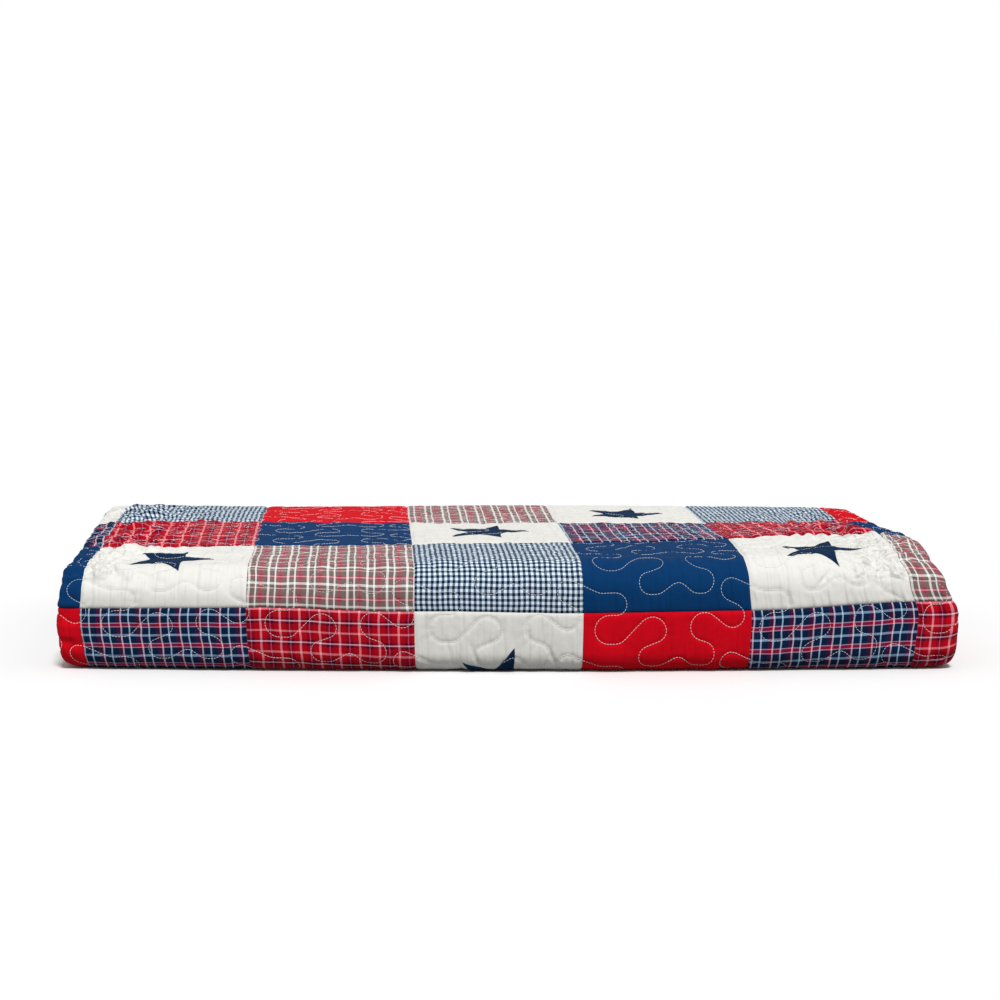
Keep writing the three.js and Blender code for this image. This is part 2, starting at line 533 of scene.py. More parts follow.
@dataclass(frozen=True)
class Patchwork:
    """How the patches lie on the flat quilt.

    Args:
        left_strip: How much of a patch shows between the stack's left end and its first seam.
        bound_inset: How far the patches stop short of the binding's fold.
        gather: How far the ends of the front's foot are drawn towards its middle.
        drift_from: The first seam between columns at which the rows stray, counted from the
            first one on the front.
        drift: How far they stray along the quilt there and at each seam to its right.
    """

    side: float = 0.131
    left_strip: float = 0.0184
    front_seam_height: float = 0.050
    bound_edge: float = 0.010
    bound_inset: float = 0.0024
    bound_height: float = 0.0013
    gather: float = 0.0034
    drift_from: int = -2
    drift: tuple[float, ...] = (
        0.0, 0.001, 0.0027, 0.0034, -0.0015, -0.0039, -0.0027, 0.0025, 0.003,
    )
    # Four columns from the left end of the stack's front, repeated across the quilt, and four
    # rows from the lower row on the front, repeated along it.
    order: tuple[tuple[Fabric, ...], ...] = (
        (Fabric.RED, Fabric.NAVY_PLAID, Fabric.RED_PLAID, Fabric.WHITE),
        (Fabric.NAVY, Fabric.WHITE, Fabric.GRAY_PLAID, Fabric.GINGHAM),
        (Fabric.NAVY_PLAID, Fabric.RED_PLAID, Fabric.NAVY, Fabric.WHITE),
        (Fabric.WHITE, Fabric.GINGHAM, Fabric.RED, Fabric.GRAY_PLAID),
    )

    def fabric(self, column: int, row: int) -> Fabric:
        """The cloth of a patch.

        Args:
            column: Its column, 0 between the first two seams on the front.
            row: Its row, 0 at the foot of the front.

        Returns:
            The cloth that it is cut from.
        """
        kinds = self.order[row % len(self.order)]
        return kinds[(column + 1) % len(kinds)]

    def stray(self, columns: Array) -> Array:
        """How far the rows stray along the quilt.

        Args:
            columns: Places across the quilt, counted in patches from the first seam.

        Returns:
            The distances.
        """
        last = self.drift_from + len(self.drift) - 1
        place = np.clip(columns, self.drift_from, last - HAIR / 1000)
        low = np.floor(place).astype(int)
        t = smooth(0, 1, place - low)
        table = np.array(self.drift)
        knot = low - self.drift_from
        return table[knot] * (1 - t) + table[knot + 1] * t


@dataclass(frozen=True)
class Lobe:
    """A round of the quilting line, in millimetres on its repeat.

    The line passes it turning left where turn is 1, and right where it is -1.
    """

    u: float
    v: float
    radius: float
    turn: int


@dataclass
class Meander:
    """The quilting: a thread that winds from lobe to lobe, over and over, in rows.

    It runs round the lobes as a belt runs round pulleys, and is smoothed a little.
    """

    width: float = 0.1282
    pitch: float = 0.0555
    sample: float = 0.0008
    softness: float = 0.0016
    lobes: tuple[Lobe, ...] = tuple(
        Lobe(*row)
        for row in (
            (25.5, 6.5, 8.4, -1), (20, -12.8, 11, 1), (25.2, -13.8, 10, 1), (53.5, -14.5, 11, -1),
            (56.5, -14.5, 8.3, -1), (52, -34, 8.2, 1), (57, -32.5, 9.7, 1),
            (74.5, -41.5, 7.2, -1), (90, -32, 10, 1), (93.5, -32.5, 9.5, 1),
            (94, -11.5, 10.7, -1), (116, -3.5, 9.2, 1), (116.5, 15.8, 8.4, -1),
            (143.5, 30, 15.3, 1),
        )
    )
    grid_step: float = 0.0006

    def __post_init__(self) -> None:
        """Draws one repeat of the line and measures how far each spot is from it."""
        self.path = self._belt()
        self.distance, self.position = self._field()

    def _belt(self) -> Array:
        """Draws one repeat of the line.

        Returns:
            Its evenly spaced points.
        """
        count = len(self.lobes)
        centre = np.array([(lobe.u, lobe.v) for lobe in self.lobes]) / MM_IN_M
        radius = np.array([lobe.radius for lobe in self.lobes]) / MM_IN_M
        turn = [lobe.turn for lobe in self.lobes]
        shift = np.array((self.width, 0.0))
        headings = []
        for i in range(count):
            after = (i + 1) % count
            onward = centre[after] + (shift if after == 0 else 0) - centre[i]
            spread = turn[after] * radius[after] - turn[i] * radius[i]
            bearing = atan2(onward[1], onward[0])
            headings.append(bearing - asin(spread / float(np.hypot(*onward))))
        points = []
        for i in range(count):
            sweep = (turn[i] * (headings[i] - headings[i - 1])) % TURN
            steps = max(2, ceil(sweep * radius[i] / self.sample))
            angle = headings[i - 1] + turn[i] * np.linspace(0, sweep, steps + 1)
            left = np.stack((-np.sin(angle), np.cos(angle)), axis=1)
            points.append(centre[i] - turn[i] * radius[i] * left)
        closed = np.concatenate([*points, points[0][:1] + shift])
        gone = np.concatenate(([0.0], np.cumsum(np.hypot(*np.diff(closed, axis=0).T))))
        even = np.linspace(0, gone[-1], round(gone[-1] / self.sample) + 1)[:-1]
        self.length = float(gone[-1])
        path = np.stack([np.interp(even, gone, closed[:, k]) for k in (0, 1)], axis=1)
        return self._soften(path, shift)

    def _soften(self, path: Array, shift: Array) -> Array:
        """Smooths the line where it passes from round to straight.

        Args:
            path: One repeat of the line.
            shift: From a repeat to the next.

        Returns:
            The smoothed repeat.
        """
        reach = round(3 * self.softness / self.sample)
        weight = np.exp(-0.5 * (np.arange(-reach, reach + 1) * self.sample / self.softness) ** 2)
        weight /= weight.sum()
        longer = np.concatenate((path[-reach:] - shift, path, path[:reach] + shift))
        parts = [np.convolve(longer[:, k], weight, mode="valid") for k in (0, 1)]
        return np.stack(parts, axis=1)

    def _field(self) -> tuple[Array, Array]:
        """Measures a grid of spots over one repeat against the line.

        Returns:
            Their distance from it, and how far along it its nearest point is.
        """
        columns = round(self.width / self.grid_step)
        lines = round(self.pitch / self.grid_step)
        u = np.arange(columns) * self.width / columns
        v = np.arange(lines) * self.pitch / lines
        copies = []
        for i in (-1, 0, 1):
            for j in (-1, 0, 1, 2):
                copies.append(self.path + np.array((i * self.width, j * self.pitch)))
        line_points = np.concatenate(copies).astype(np.float32)
        near = np.zeros((lines, columns))
        where = np.zeros((lines, columns))
        for j in range(lines):
            gap = (line_points[None, :, 0] - u[:, None].astype(np.float32)) ** 2
            gap += (line_points[None, :, 1] - np.float32(v[j])) ** 2
            best = gap.argmin(axis=1)
            near[j] = np.sqrt(gap[np.arange(columns), best])
            where[j] = (best % len(self.path)) * self.sample
        return near, where

    def _look_up(self, grid: Array, u: Array, v: Array, blend: bool) -> Array:
        """Reads a grid over one repeat at any spots of the flat quilt.

        Args:
            grid: The grid.
            u: Places across.
            v: Places along.
            blend: Whether to blend between its crossings.

        Returns:
            The values.
        """
        lines, columns = grid.shape
        x = (u / self.width * columns) % columns
        y = (v / self.pitch * lines) % lines
        i = x.astype(int) % columns
        j = y.astype(int) % lines
        if not blend:
            return grid[j, i]
        return blended(grid, j, i, y - np.floor(y), x - np.floor(x))

    def near(self, u: Array, v: Array) -> tuple[Array, Array]:
        """Measures spots of the flat quilt against the quilting line.

        Args:
            u: Places across.
            v: Places along.

        Returns:
            Their distance from the line, and how far along the line its nearest point is.
        """
        return (
            self._look_up(self.distance, u, v, True),
            self._look_up(self.position, u, v, False),
        )


@dataclass(frozen=True)
class Crease:
    """A soft ridge in the outer layer, or a trough where its height is negative.

    Its middle is measured from the left end of the outer ply and the seam on the front, and its
    angle in degrees from u.
    """

    u: float
    v: float
    reach_u: float
    reach_v: float
    angle: float
    height: float


@dataclass
class FaceGrid:
    """The height of a row's face at the lines of its mesh, with one row of it for each v."""

    u: Array
    v: Array
    lift: Array

    def read(self, u: Array, v: Array) -> Array:
        """Reads the face between its lines.

        Args:
            u: Places across.
            v: Places along.

        Returns:
            The heights.
        """
        i = np.clip(np.searchsorted(self.u, u) - 1, 0, len(self.u) - 2)
        j = np.clip(np.searchsorted(self.v, v) - 1, 0, len(self.v) - 2)
        fu = np.clip((u - self.u[i]) / (self.u[i + 1] - self.u[i]), 0, 1)
        fv = np.clip((v - self.v[j]) / (self.v[j + 1] - self.v[j]), 0, 1)
        return blended(self.lift, j, i, fv, fu)


@dataclass
class QuiltSurface:
    """The quilt's relief: puffs between the quilting lines, seams, puckers and creases."""

    cloth: FoldedCloth
    patchwork: Patchwork
    meander: Meander
    stitch_depth: float = 0.0011
    stitch_width: float = 0.0009
    puff_depth: float = 0.0002
    puff_width: float = 0.0042
    seam_depth: float = 0.0013
    seam_width: float = 0.0012
    back_puff_depth: float = 0.0007
    pucker_height: float = 0.00034
    pucker_pitch: float = 0.0062
    pucker_reach: float = 0.006
    pucker_start: float = 0.0009
    pucker_beat: Noise = Noise(0.02, 0.02, 5, 4.0)
    pucker_strength: Noise = Noise(0.013, 0.013, 6, 0.5)
    streaks: tuple[Noise, ...] = (Noise(0.008, 0.05, 11), Noise(0.019, 0.09, 12))
    streak_height: float = 0.00055
    rolls: Noise = Noise(0.09, 0.045, 13, 0.0008)
    crinkles: Noise = Noise(0.006, 0.009, 16, 0.00015)
    bulge_height: float = 0.0022
    puffs: tuple[Noise, ...] = (Noise(0.015, 0.011, 14, 0.7), Noise(0.007, 0.006, 15, 0.6))
    puff_calm: float = 0.35
    puffs_all_over: float = 0.12
    ripples: tuple[Noise, ...] = (Noise(0.011, 0.026, 17), Noise(0.008, 0.009, 18, 0.5))
    ripple_calm: float = 0.4
    ripple_share: float = 0.8
    crumple_height: float = 0.0052
    # How far in from the left and right end the crumples are highest, and their reach.
    left_crumples: Pair = (0.035, 0.045)
    right_crumples: Pair = (0.05, 0.055)
    scallops: Noise = Noise(0.03, 0.0065, 19)
    scallop_height: float = 0.0011
    scallop_reach: float = 0.014
    # Over what distances from each edge of the front and the top the loose relief comes up.
    left_edge: Pair = (-0.009, 0.004)
    right_edge: Pair = (-0.002, 0.013)
    foot_edge: Pair = (-0.004, 0.02)
    top_edge: Pair = (-0.004, 0.03)
    back_edge: Pair = (-0.03, 0.0)
    hem_blend: float = 0.0012
    gather_reach: float = 0.05
    gather_fade: float = 0.01
    star_radius: float = 0.0365
    star_lean: float = -20.0
    star_seed: int = 31
    star_rows: range = range(-3, 7)
    star_columns: range = range(-1, 6)
    star_stray: float = 0.0007
    star_raise: Pair = (0.0033, -0.001)
    star_margins: Triple = (0.03, 0.05, 0.04)
    star_bed: float = 0.0009
    star_bed_edge: Pair = (-0.002, 0.012)
    star_bed_fade: float = 0.012
    star_calm: float = 0.9
    star_calm_reach: Pair = (0.8, 1.25)
    frame_step: float = 0.0008
    steepest: float = 0.5
    creases: tuple[Crease, ...] = tuple(
        Crease(*row)
        for row in (
            (0.055, 0.075, 0.03, 0.005, 12, 0.0022), (0.07, 0.092, 0.034, 0.006, -8, -0.0018),
            (0.105, 0.083, 0.04, 0.006, 14, 0.0016), (0.62, 0.055, 0.008, 0.026, 10, 0.0014),
            (0.645, 0.08, 0.008, 0.03, 20, -0.0012), (0.67, 0.07, 0.009, 0.034, 14, 0.0016),
            (0.585, 0.084, 0.03, 0.006, -6, -0.0012), (0.6352, 0.041, 0.0016, 0.009, 10, -0.0018),
            (0.6342, 0.025, 0.0016, 0.008, -12, -0.0018),
            (0.6385, 0.033, 0.0035, 0.016, 0, 0.0014),
            (0.6446, 0.022, 0.0014, 0.007, -10, -0.0016),
            (0.5674, 0.012, 0.0014, 0.011, 0, -0.0013),
            (0.599, 0.021, 0.0015, 0.009, -50, -0.0016),
            (0.602, 0.033, 0.0016, 0.01, 70, -0.0014),
            (0.3028, -0.031, 0.0014, 0.008, 12, -0.0012),
            (0.323, -0.034, 0.0014, 0.009, 24, -0.0012),
            (0.3836, -0.034, 0.0014, 0.007, 24, -0.0014),
        )
    )

    def __post_init__(self) -> None:
        """Works out the seams and the stretch of the outer layer that shows."""
        cloth = self.cloth
        self.ply_start, self.ply_end = cloth.outer_ply()
        fold_reach = cloth.thickness / 2 + cloth.ply_pitch / 2
        self.seam_u = self.ply_start + self.patchwork.left_strip - fold_reach
        rounds = [part for part in cloth.along.stretches if part.turn]
        front_bottom, front_top = rounds[0], rounds[1]
        rise = self.patchwork.front_seam_height - front_bottom.radius - cloth.strip / 2
        self.front_start = front_bottom.begin
        self.seam_v = front_bottom.begin + front_bottom.length + rise
        self.top_end = rounds[2].begin
        self.back_end = rounds[3].begin + rounds[3].length
        self.front_top = front_top.begin
        self.top_start = front_top.begin + front_top.length
        self.quilting_u = self.seam_u + 3 * self.patchwork.side
        self.stars = self._star_spots()
        self.grids: list[FaceGrid] = []

    def place(self, u: Array, v: Array, lift: Array | float) -> Array:
        """Finds where spots of the flat quilt lie in the folded stack.

        Args:
            u: Places across the quilt.
            v: Places along it, as the rows of patches run.
            lift: Heights above the middle of the cloth, towards its pieced face.

        Returns:
            The points, with their coordinates on the last axis.
        """
        return self.cloth.place(u - self._gathered(u, v), v + self._stray(u), lift)

    def _gathered(self, u: Array, v: Array) -> Array:
        """How far the foot of the front is drawn in, to the right where it is negative.

        Args:
            u: Places across.
            v: Places along.

        Returns:
            The distances.
        """
        middle = (self.ply_start + self.ply_end) / 2
        half = (self.ply_end - self.ply_start) / 2
        side = np.clip((u - middle) / half, -1, 1)
        beyond = np.maximum(np.abs(u - middle) - half, 0)
        reach = self.gather_reach
        foot = 1 - smooth(self.front_start, self.seam_v, v)
        foot = foot * smooth(self.front_start - reach, self.front_start - self.gather_fade, v)
        return self.patchwork.gather * side * foot * (1 - smooth(0, reach, beyond))

    def _stray(self, u: Array) -> Array:
        """How far the rows of patches stray along the quilt."""
        return self.patchwork.stray((u - self.seam_u) / self.patchwork.side)

    def column_of(self, u: Array) -> Array:
        """The patch column that each spot is in."""
        return np.floor((u - self.seam_u) / self.patchwork.side).astype(int)

    def row_seam(self, row: int) -> float:
        """Where a row of patches starts along the quilt."""
        return self.seam_v + (row - 1) * self.patchwork.side

    def seams_u(self) -> Array:
        """Finds the seams between the columns.

        Returns:
            Their places across the quilt.
        """
        side = self.patchwork.side
        edge = self.patchwork.bound_edge
        first = ceil((edge - self.seam_u) / side)
        last = floor((self.cloth.across.length - edge - self.seam_u) / side)
        return self.seam_u + side * np.arange(first, last + 1)

    def _star_spots(self) -> list[Triple]:
        """Puts a star on each white patch that lies whole on the outer layer.

        Returns:
            The place across the quilt, the place along it and the lean of each star.
        """
        side = self.patchwork.side
        pick = np.random.default_rng(self.star_seed)
        found = []
        beside, start, end = self.star_margins
        for row in self.star_rows:
            for column in self.star_columns:
                jitter = pick.uniform(-1, 1, 3)
                if self.patchwork.fabric(column, row) is not Fabric.WHITE:
                    continue
                u = self.seam_u + (column + 0.5) * side + self.star_stray * jitter[0]
                high = self.star_raise[0 if row % len(self.patchwork.order) == 0 else 1]
                v = self.row_seam(row) + side / 2 + high + self.star_stray * jitter[1]
                inside = self.ply_start + beside < u < self.ply_end - beside
                if inside and start < v < self.top_end - end:
                    found.append((u, v, radians(self.star_lean + jitter[2])))
        return found

    def _outer(self, u: Array, v: Array) -> Array:
        """1 on the outer face of the stack's front and top, 0 where layers touch.

        Args:
            u: Places across.
            v: Places along.

        Returns:
            The shares.
        """
        across = rises(self.ply_start, self.left_edge, u)
        across *= 1 - rises(self.ply_end, self.right_edge, u)
        along = rises(self.front_start, self.foot_edge, v)
        along *= 1 - rises(self.top_end, self.back_edge, v)
        return across * along

    def _creases(self, u: Array, v: Array) -> Array:
        """Adds up the listed ridges and troughs.

        Args:
            u: Places across.
            v: Places along.

        Returns:
            The heights.
        """
        total = np.zeros(np.broadcast(u, v).shape)
        for crease in self.creases:
            du = u - self.ply_start - crease.u
            dv = v - self.seam_v - crease.v
            turn = radians(crease.angle)
            a = du * cos(turn) + dv * sin(turn)
            b = dv * cos(turn) - du * sin(turn)
            hill = np.exp(-((a / crease.reach_u) ** 2) - (b / crease.reach_v) ** 2)
            total += crease.height * hill
        return total

    def _from_star(self, u: Array, v: Array, until: float) -> Array:
        """How far each spot is from the nearest star.

        Args:
            u: Places across.
            v: Places along.
            until: Where along the quilt the last of the stars lies that count.

        Returns:
            The distances.
        """
        nearest = np.full(u.shape, inf)
        for star_u, star_v, _ in self.stars:
            if star_v < until:
                nearest = np.minimum(nearest, np.hypot(u - star_u, v - star_v))
        return nearest

    def _free_relief(self, u: Array, v: Array) -> Array:
        """The soft unevenness of the outer layer, which nothing presses flat.

        Args:
            u: Places across.
            v: Places along.

        Returns:
            The heights.
        """
        streaks = sum(noise.at(u, v) for noise in self.streaks)
        middle = (self.front_start + self.top_start) / 2
        reach = (self.top_start - self.front_start) / 2
        bulge = np.cos(np.clip((v - middle) / reach, -1, 1) * pi / 2) ** 2
        puffs = np.abs(sum(noise.at(u, v) for noise in self.puffs)) - self.puff_calm
        ripples = np.abs(sum(noise.at(u, v) for noise in self.ripples)) - self.ripple_calm
        near_left = bell(u - self.ply_start - self.left_crumples[0], self.left_crumples[1])
        near_right = bell(self.ply_end - self.right_crumples[0] - u, self.right_crumples[1])
        crumple = near_left * puffs + self.ripple_share * near_right * ripples
        crumple += self.puffs_all_over * puffs
        low, high = (self.star_radius * share for share in self.star_calm_reach)
        calm = 1 - smooth(low, high, self._from_star(u, v, inf))
        crumple *= rises(self.front_top, self.top_edge, v) * (1 - self.star_calm * calm)
        beyond = np.minimum(np.abs(u - self.ply_start), np.abs(u - self.ply_end))
        scallop = bell(beyond, self.scallop_reach) * self.scallops.at(u, v)
        return (
            self.streak_height * streaks
            + self.rolls.at(u, v)
            + self.crinkles.at(u, v)
            + self.bulge_height * bulge
            + self.crumple_height * crumple
            + self.scallop_height * scallop
            + self._creases(u, v)
        )

    def lift(self, u: Array, v: Array) -> Array:
        """How high the pieced face stands above the middle of the cloth.

        Args:
            u: Places across.
            v: Places along.

        Returns:
            The heights.
        """
        u, v = np.broadcast_arrays(u, v)
        away, position = self.meander.near(u - self.quilting_u, v - self.seam_v)
        side = self.patchwork.side
        seam = np.minimum(
            np.abs((u - self.seam_u + side / 2) % side - side / 2),
            np.abs((v - self.seam_v + side / 2) % side - side / 2),
        )
        trough = self.stitch_depth * np.exp(-away / self.stitch_width)
        trough += self.puff_depth * np.exp(-away / self.puff_width)
        ditch = self.seam_depth * np.exp(-seam / self.seam_width)
        strength = 0.5 + self.pucker_strength.at(u, v)
        beat = self.pucker_beat.at(u, v)
        pucker = np.cos(TURN * position / self.pucker_pitch + beat) * strength
        pucker *= np.exp(-away / self.pucker_reach) * (1 - bell(away, self.pucker_start))
        low = self.pucker_height * (pucker - 1) - np.maximum(trough, ditch)
        away = self._from_star(u, v, self.front_start + self.star_radius)
        bed = 1 - smooth(self.star_radius, self.star_radius + self.star_bed_fade, away)
        low -= self.star_bed * (bed * (1 - rises(self.front_start, self.star_bed_edge, v)))
        outer = self._outer(u, v)
        height = self.cloth.thickness / 2 + low + outer * self._free_relief(u, v)
        pressed = self._bound(u, v)
        return height * (1 - pressed) + self.patchwork.bound_height * pressed

    def _bound(self, u: Array, v: Array) -> Array:
        """1 inside the binding, 0 outside it.

        Args:
            u: Places across.
            v: Places along.

        Returns:
            The shares.
        """
        wide = self.cloth.across.length
        long = self.cloth.along.length
        edge = self.patchwork.bound_edge
        inward = np.minimum(np.minimum(u, wide - u), np.minimum(v, long - v))
        return 1 - smooth(edge - self.hem_blend, edge + self.hem_blend, inward)

    def back_lift(self, u: Array, v: Array) -> Array:
        """How far the backing stands below the middle of the cloth, as a negative height.

        Args:
            u: Places across.
            v: Places along.

        Returns:
            The heights.
        """
        away, _ = self.meander.near(u - self.quilting_u, v - self.seam_v)
        sunk = self.back_puff_depth * np.exp(-away / self.puff_width)
        height = self.cloth.thickness / 2 - sunk
        pressed = self._bound(u, v)
        return -height * (1 - pressed) - self.patchwork.bound_height * pressed

    def ground(self, u: Array, v: Array) -> Array:
        """How high the rows' faces, as they were built, stand above the middle of the cloth.

        Args:
            u: Places across.
            v: Places along.

        Returns:
            The heights.
        """
        height = np.full(u.shape, self.cloth.thickness / 2)
        for grid in self.grids:
            inside = (v >= grid.v[0]) & (v <= grid.v[-1])
            height[inside] = grid.read(u[inside], v[inside])
        return height

    def crest(self, u: Array, v: Array, reach: float) -> Array:
        """The highest that the faces stand within reach of each spot."""
        steps = ((0, 0), (reach, 0), (-reach, 0), (0, reach), (0, -reach))
        return np.max([self.ground(u + du, v + dv) for du, dv in steps], axis=0)

    def frames(
        self, u: Array, v: Array, heading: Array, half: float, raised: Array
    ) -> tuple[Array, ...]:
        """Lays short straight lengths on the pieced face.

        Args:
            u: Places across the quilt of their middles.
            v: Places along it.
            heading: Directions on the flat quilt, as angles from u.
            half: Half their length.
            raised: The least height of their middles above the middle of the cloth.

        Returns:
            Their middles, the unit vectors along them, and the unit normals.
        """
        du = half * np.cos(heading)
        dv = half * np.sin(heading)
        before = self.ground(u - du, v - dv)
        after = self.ground(u + du, v + dv)
        height = np.maximum(np.maximum(self.ground(u, v), raised), (before + after) / 2)
        point = self.place(u, v, height)
        to_u = self.place(u + self.frame_step, v, height) - point
        to_v = self.place(u, v + self.frame_step, height) - point
        normal = unit(np.cross(to_u, to_v))
        level = unit(to_u * np.cos(heading)[:, None] + to_v * np.sin(heading)[:, None])
        slope = np.clip((after - before) / (2 * half), -self.steepest, self.steepest)
        run = unit(level + slope[:, None] * normal)
        normal = unit(normal - (run * normal).sum(axis=-1, keepdims=True) * run)
        return point, run, normal


# The finishes


SCREEN_GAMMA = 2.2


def shown(colour: Colour) -> tuple[float, float, float, float]:
    """A colour as a screen shows it, from 0 to 255, as parts of its full strength."""
    red, green, blue = colour
    return (red / 255, green / 255, blue / 255, 1.0)


class Wiring:
    """Adds nodes to one node tree and joins them."""

    def __init__(self, tree: NodeTree) -> None:
        """Takes the tree of a material or of a group."""
        self.tree = tree

    def node(self, kind: str, inputs: dict | None = None, **settings: object) -> Node:
        """Adds a node.

        Args:
            kind: Its type, without the word ShaderNode in front.
            inputs: Values or sockets for its inputs, by name or place.
            settings: Its own properties.

        Returns:
            The node.
        """
        made = self.tree.nodes.new("ShaderNode" + kind)
        for name, value in settings.items():
            setattr(made, name, value)
        self.feed(made, inputs or {})
        return made

    def feed(self, node: Node, inputs: dict) -> None:
        """Joins sockets to a node's inputs, or sets plain values on them.

        Args:
            node: The node.
            inputs: What goes into its inputs, by name or place.
        """
        for name, value in inputs.items():
            if isinstance(value, NodeSocket):
                self.tree.links.new(value, node.inputs[name])
            else:
                node.inputs[name].default_value = value

    def math(self, operation: str, *values: object) -> NodeSocket:
        """Adds a Math node over two or three values and returns its result."""
        inputs = dict(enumerate(values))
        return self.node("Math", inputs, operation=operation).outputs[0]

    def mix(
        self, factor: object, first: object, second: object, blend: str = "MIX"
    ) -> NodeSocket:
        """Mixes two colours and returns the result."""
        inputs = {0: factor, 6: first, 7: second}
        return self.node("Mix", inputs, data_type="RGBA", blend_type=blend).outputs[2]

    def noise(self, place: object, scale: float, detail: float) -> NodeSocket:
        """Adds a Noise Texture and returns its value."""
        return self.node("TexNoise", {"Vector": place, "Scale": scale, "Detail": detail}).outputs[0]

    def drawn(self, place: object, scale: Triple) -> NodeSocket:
        """Scales a place each way and returns the new one."""
        return self.node("Mapping", {0: place, 3: scale}, vector_type="POINT").outputs[0]

    def step(self, value: object, edge: Pair) -> NodeSocket:
        """Rises smoothly from 0 at the edge's first value to 1 at its second."""
        inputs = {0: value, 1: edge[0], 2: edge[1]}
        return self.node("MapRange", inputs, interpolation_type="SMOOTHSTEP").outputs[0]

    def straighten(self, colour: object) -> NodeSocket:
        """Turns a colour as a screen shows it into the shader's own values."""
        return self.node("Gamma", {0: colour, 1: SCREEN_GAMMA}).outputs[0]


def new_material(name: str) -> tuple[Material, Wiring, Node]:
    """Makes a material.

    Args:
        name: Its name.

    Returns:
        The material, its wiring and its shader.
    """
    made = bpy.data.materials.new(name)
    made.use_nodes = True
    return made, Wiring(made.node_tree), made.node_tree.nodes["Principled BSDF"]


@dataclass(frozen=True)
class WovenCotton:
    """What all the cotton uses: plain weave, uneven yarn, faint shading and soft crinkles."""

    yarn_pitch: float = 0.0005
    over: Pair = (0.2, 0.45)
    slub_scales: tuple[Triple, ...] = ((60.0, 900.0, 1.0), (900.0, 60.0, 1.0))
    slub_share: float = 0.35
    blotch_scale: float = 45.0
    blotch_share: float = 0.3
    streak_scale: Triple = (170.0, 20.0, 1.0)
    dimple_scale: float = 190.0
    dimple_share: float = 0.06

    def group(self) -> NodeTree:
        """Builds the node group.

        Returns:
            The group. Its vector is the flat cloth in metres. It puts out which yarn lies on top,
            the weave's height, a shade that varies along the yarns, and the crinkles' height.
        """
        group = bpy.data.node_groups.new("woven_cotton", "ShaderNodeTree")
        sockets = group.interface
        sockets.new_socket("Cloth", in_out="INPUT", socket_type="NodeSocketVector")
        pitch = sockets.new_socket("Yarn pitch", in_out="INPUT", socket_type="NodeSocketFloat")
        pitch.default_value = self.yarn_pitch
        for name in ("Over", "Height", "Shade", "Crinkle"):
            sockets.new_socket(name, in_out="OUTPUT", socket_type="NodeSocketFloat")
        wire = Wiring(group)
        given = group.nodes.new("NodeGroupInput")
        cloth = given.outputs["Cloth"]
        place = wire.node("SeparateXYZ", {0: cloth})
        waves = []
        for axis in (0, 1):
            turns = wire.math("DIVIDE", place.outputs[axis], given.outputs["Yarn pitch"])
            waves.append(wire.math("SINE", wire.math("MULTIPLY", turns, pi)))
        crossing = wire.math("MULTIPLY", *waves)
        crowns = wire.math("ADD", *(wire.math("MULTIPLY", wave, wave) for wave in waves))
        slubs = (wire.noise(wire.drawn(cloth, scale), 1.0, 2.0) for scale in self.slub_scales)
        yarns = wire.math("MULTIPLY", wire.math("ADD", *slubs), self.slub_share)
        blotch = wire.noise(cloth, self.blotch_scale, 3.0)
        streaks = wire.noise(wire.drawn(cloth, self.streak_scale), 1.0, 1.0)
        dimples = wire.noise(cloth, self.dimple_scale, 2.0)
        results = {
            "Over": wire.math("MULTIPLY_ADD", crossing, *self.over),
            "Height": wire.math("MULTIPLY", crowns, 0.5),
            "Shade": wire.math("MULTIPLY_ADD", blotch, self.blotch_share, yarns),
            "Crinkle": wire.math("MULTIPLY_ADD", dimples, self.dimple_share, streaks),
        }
        wire.feed(group.nodes.new("NodeGroupOutput"), results)
        return group


@dataclass(frozen=True)
class Band:
    """A stripe of a checked cloth: its start in the repeat and its width, in millimetres."""

    start: float
    width: float
    colour: Colour


@dataclass(frozen=True)
class Stripes:
    """The yarns of a cloth in one direction, with its bands on a ground, in millimetres."""

    repeat: float
    ground: Colour
    bands: tuple[Band, ...] = ()

    def ramp(self, wire: Wiring, place: NodeSocket) -> NodeSocket:
        """Colours the yarns.

        Args:
            wire: The tree to add to.
            place: The distance across the yarns, in metres.

        Returns:
            The colour of the yarn at that place.
        """
        part = wire.math("FRACT", wire.math("MULTIPLY", place, MM_IN_M / self.repeat))
        made = wire.node("ValToRGB", {0: part})
        ramp = made.color_ramp
        ramp.interpolation = "CONSTANT"
        ramp.elements[0].color = shown(self.ground)
        ramp.elements.remove(ramp.elements[1])
        for band in self.bands:
            ramp.elements.new(band.start / self.repeat).color = shown(band.colour)
            ramp.elements.new((band.start + band.width) / self.repeat).color = shown(self.ground)
        return made.outputs[0]


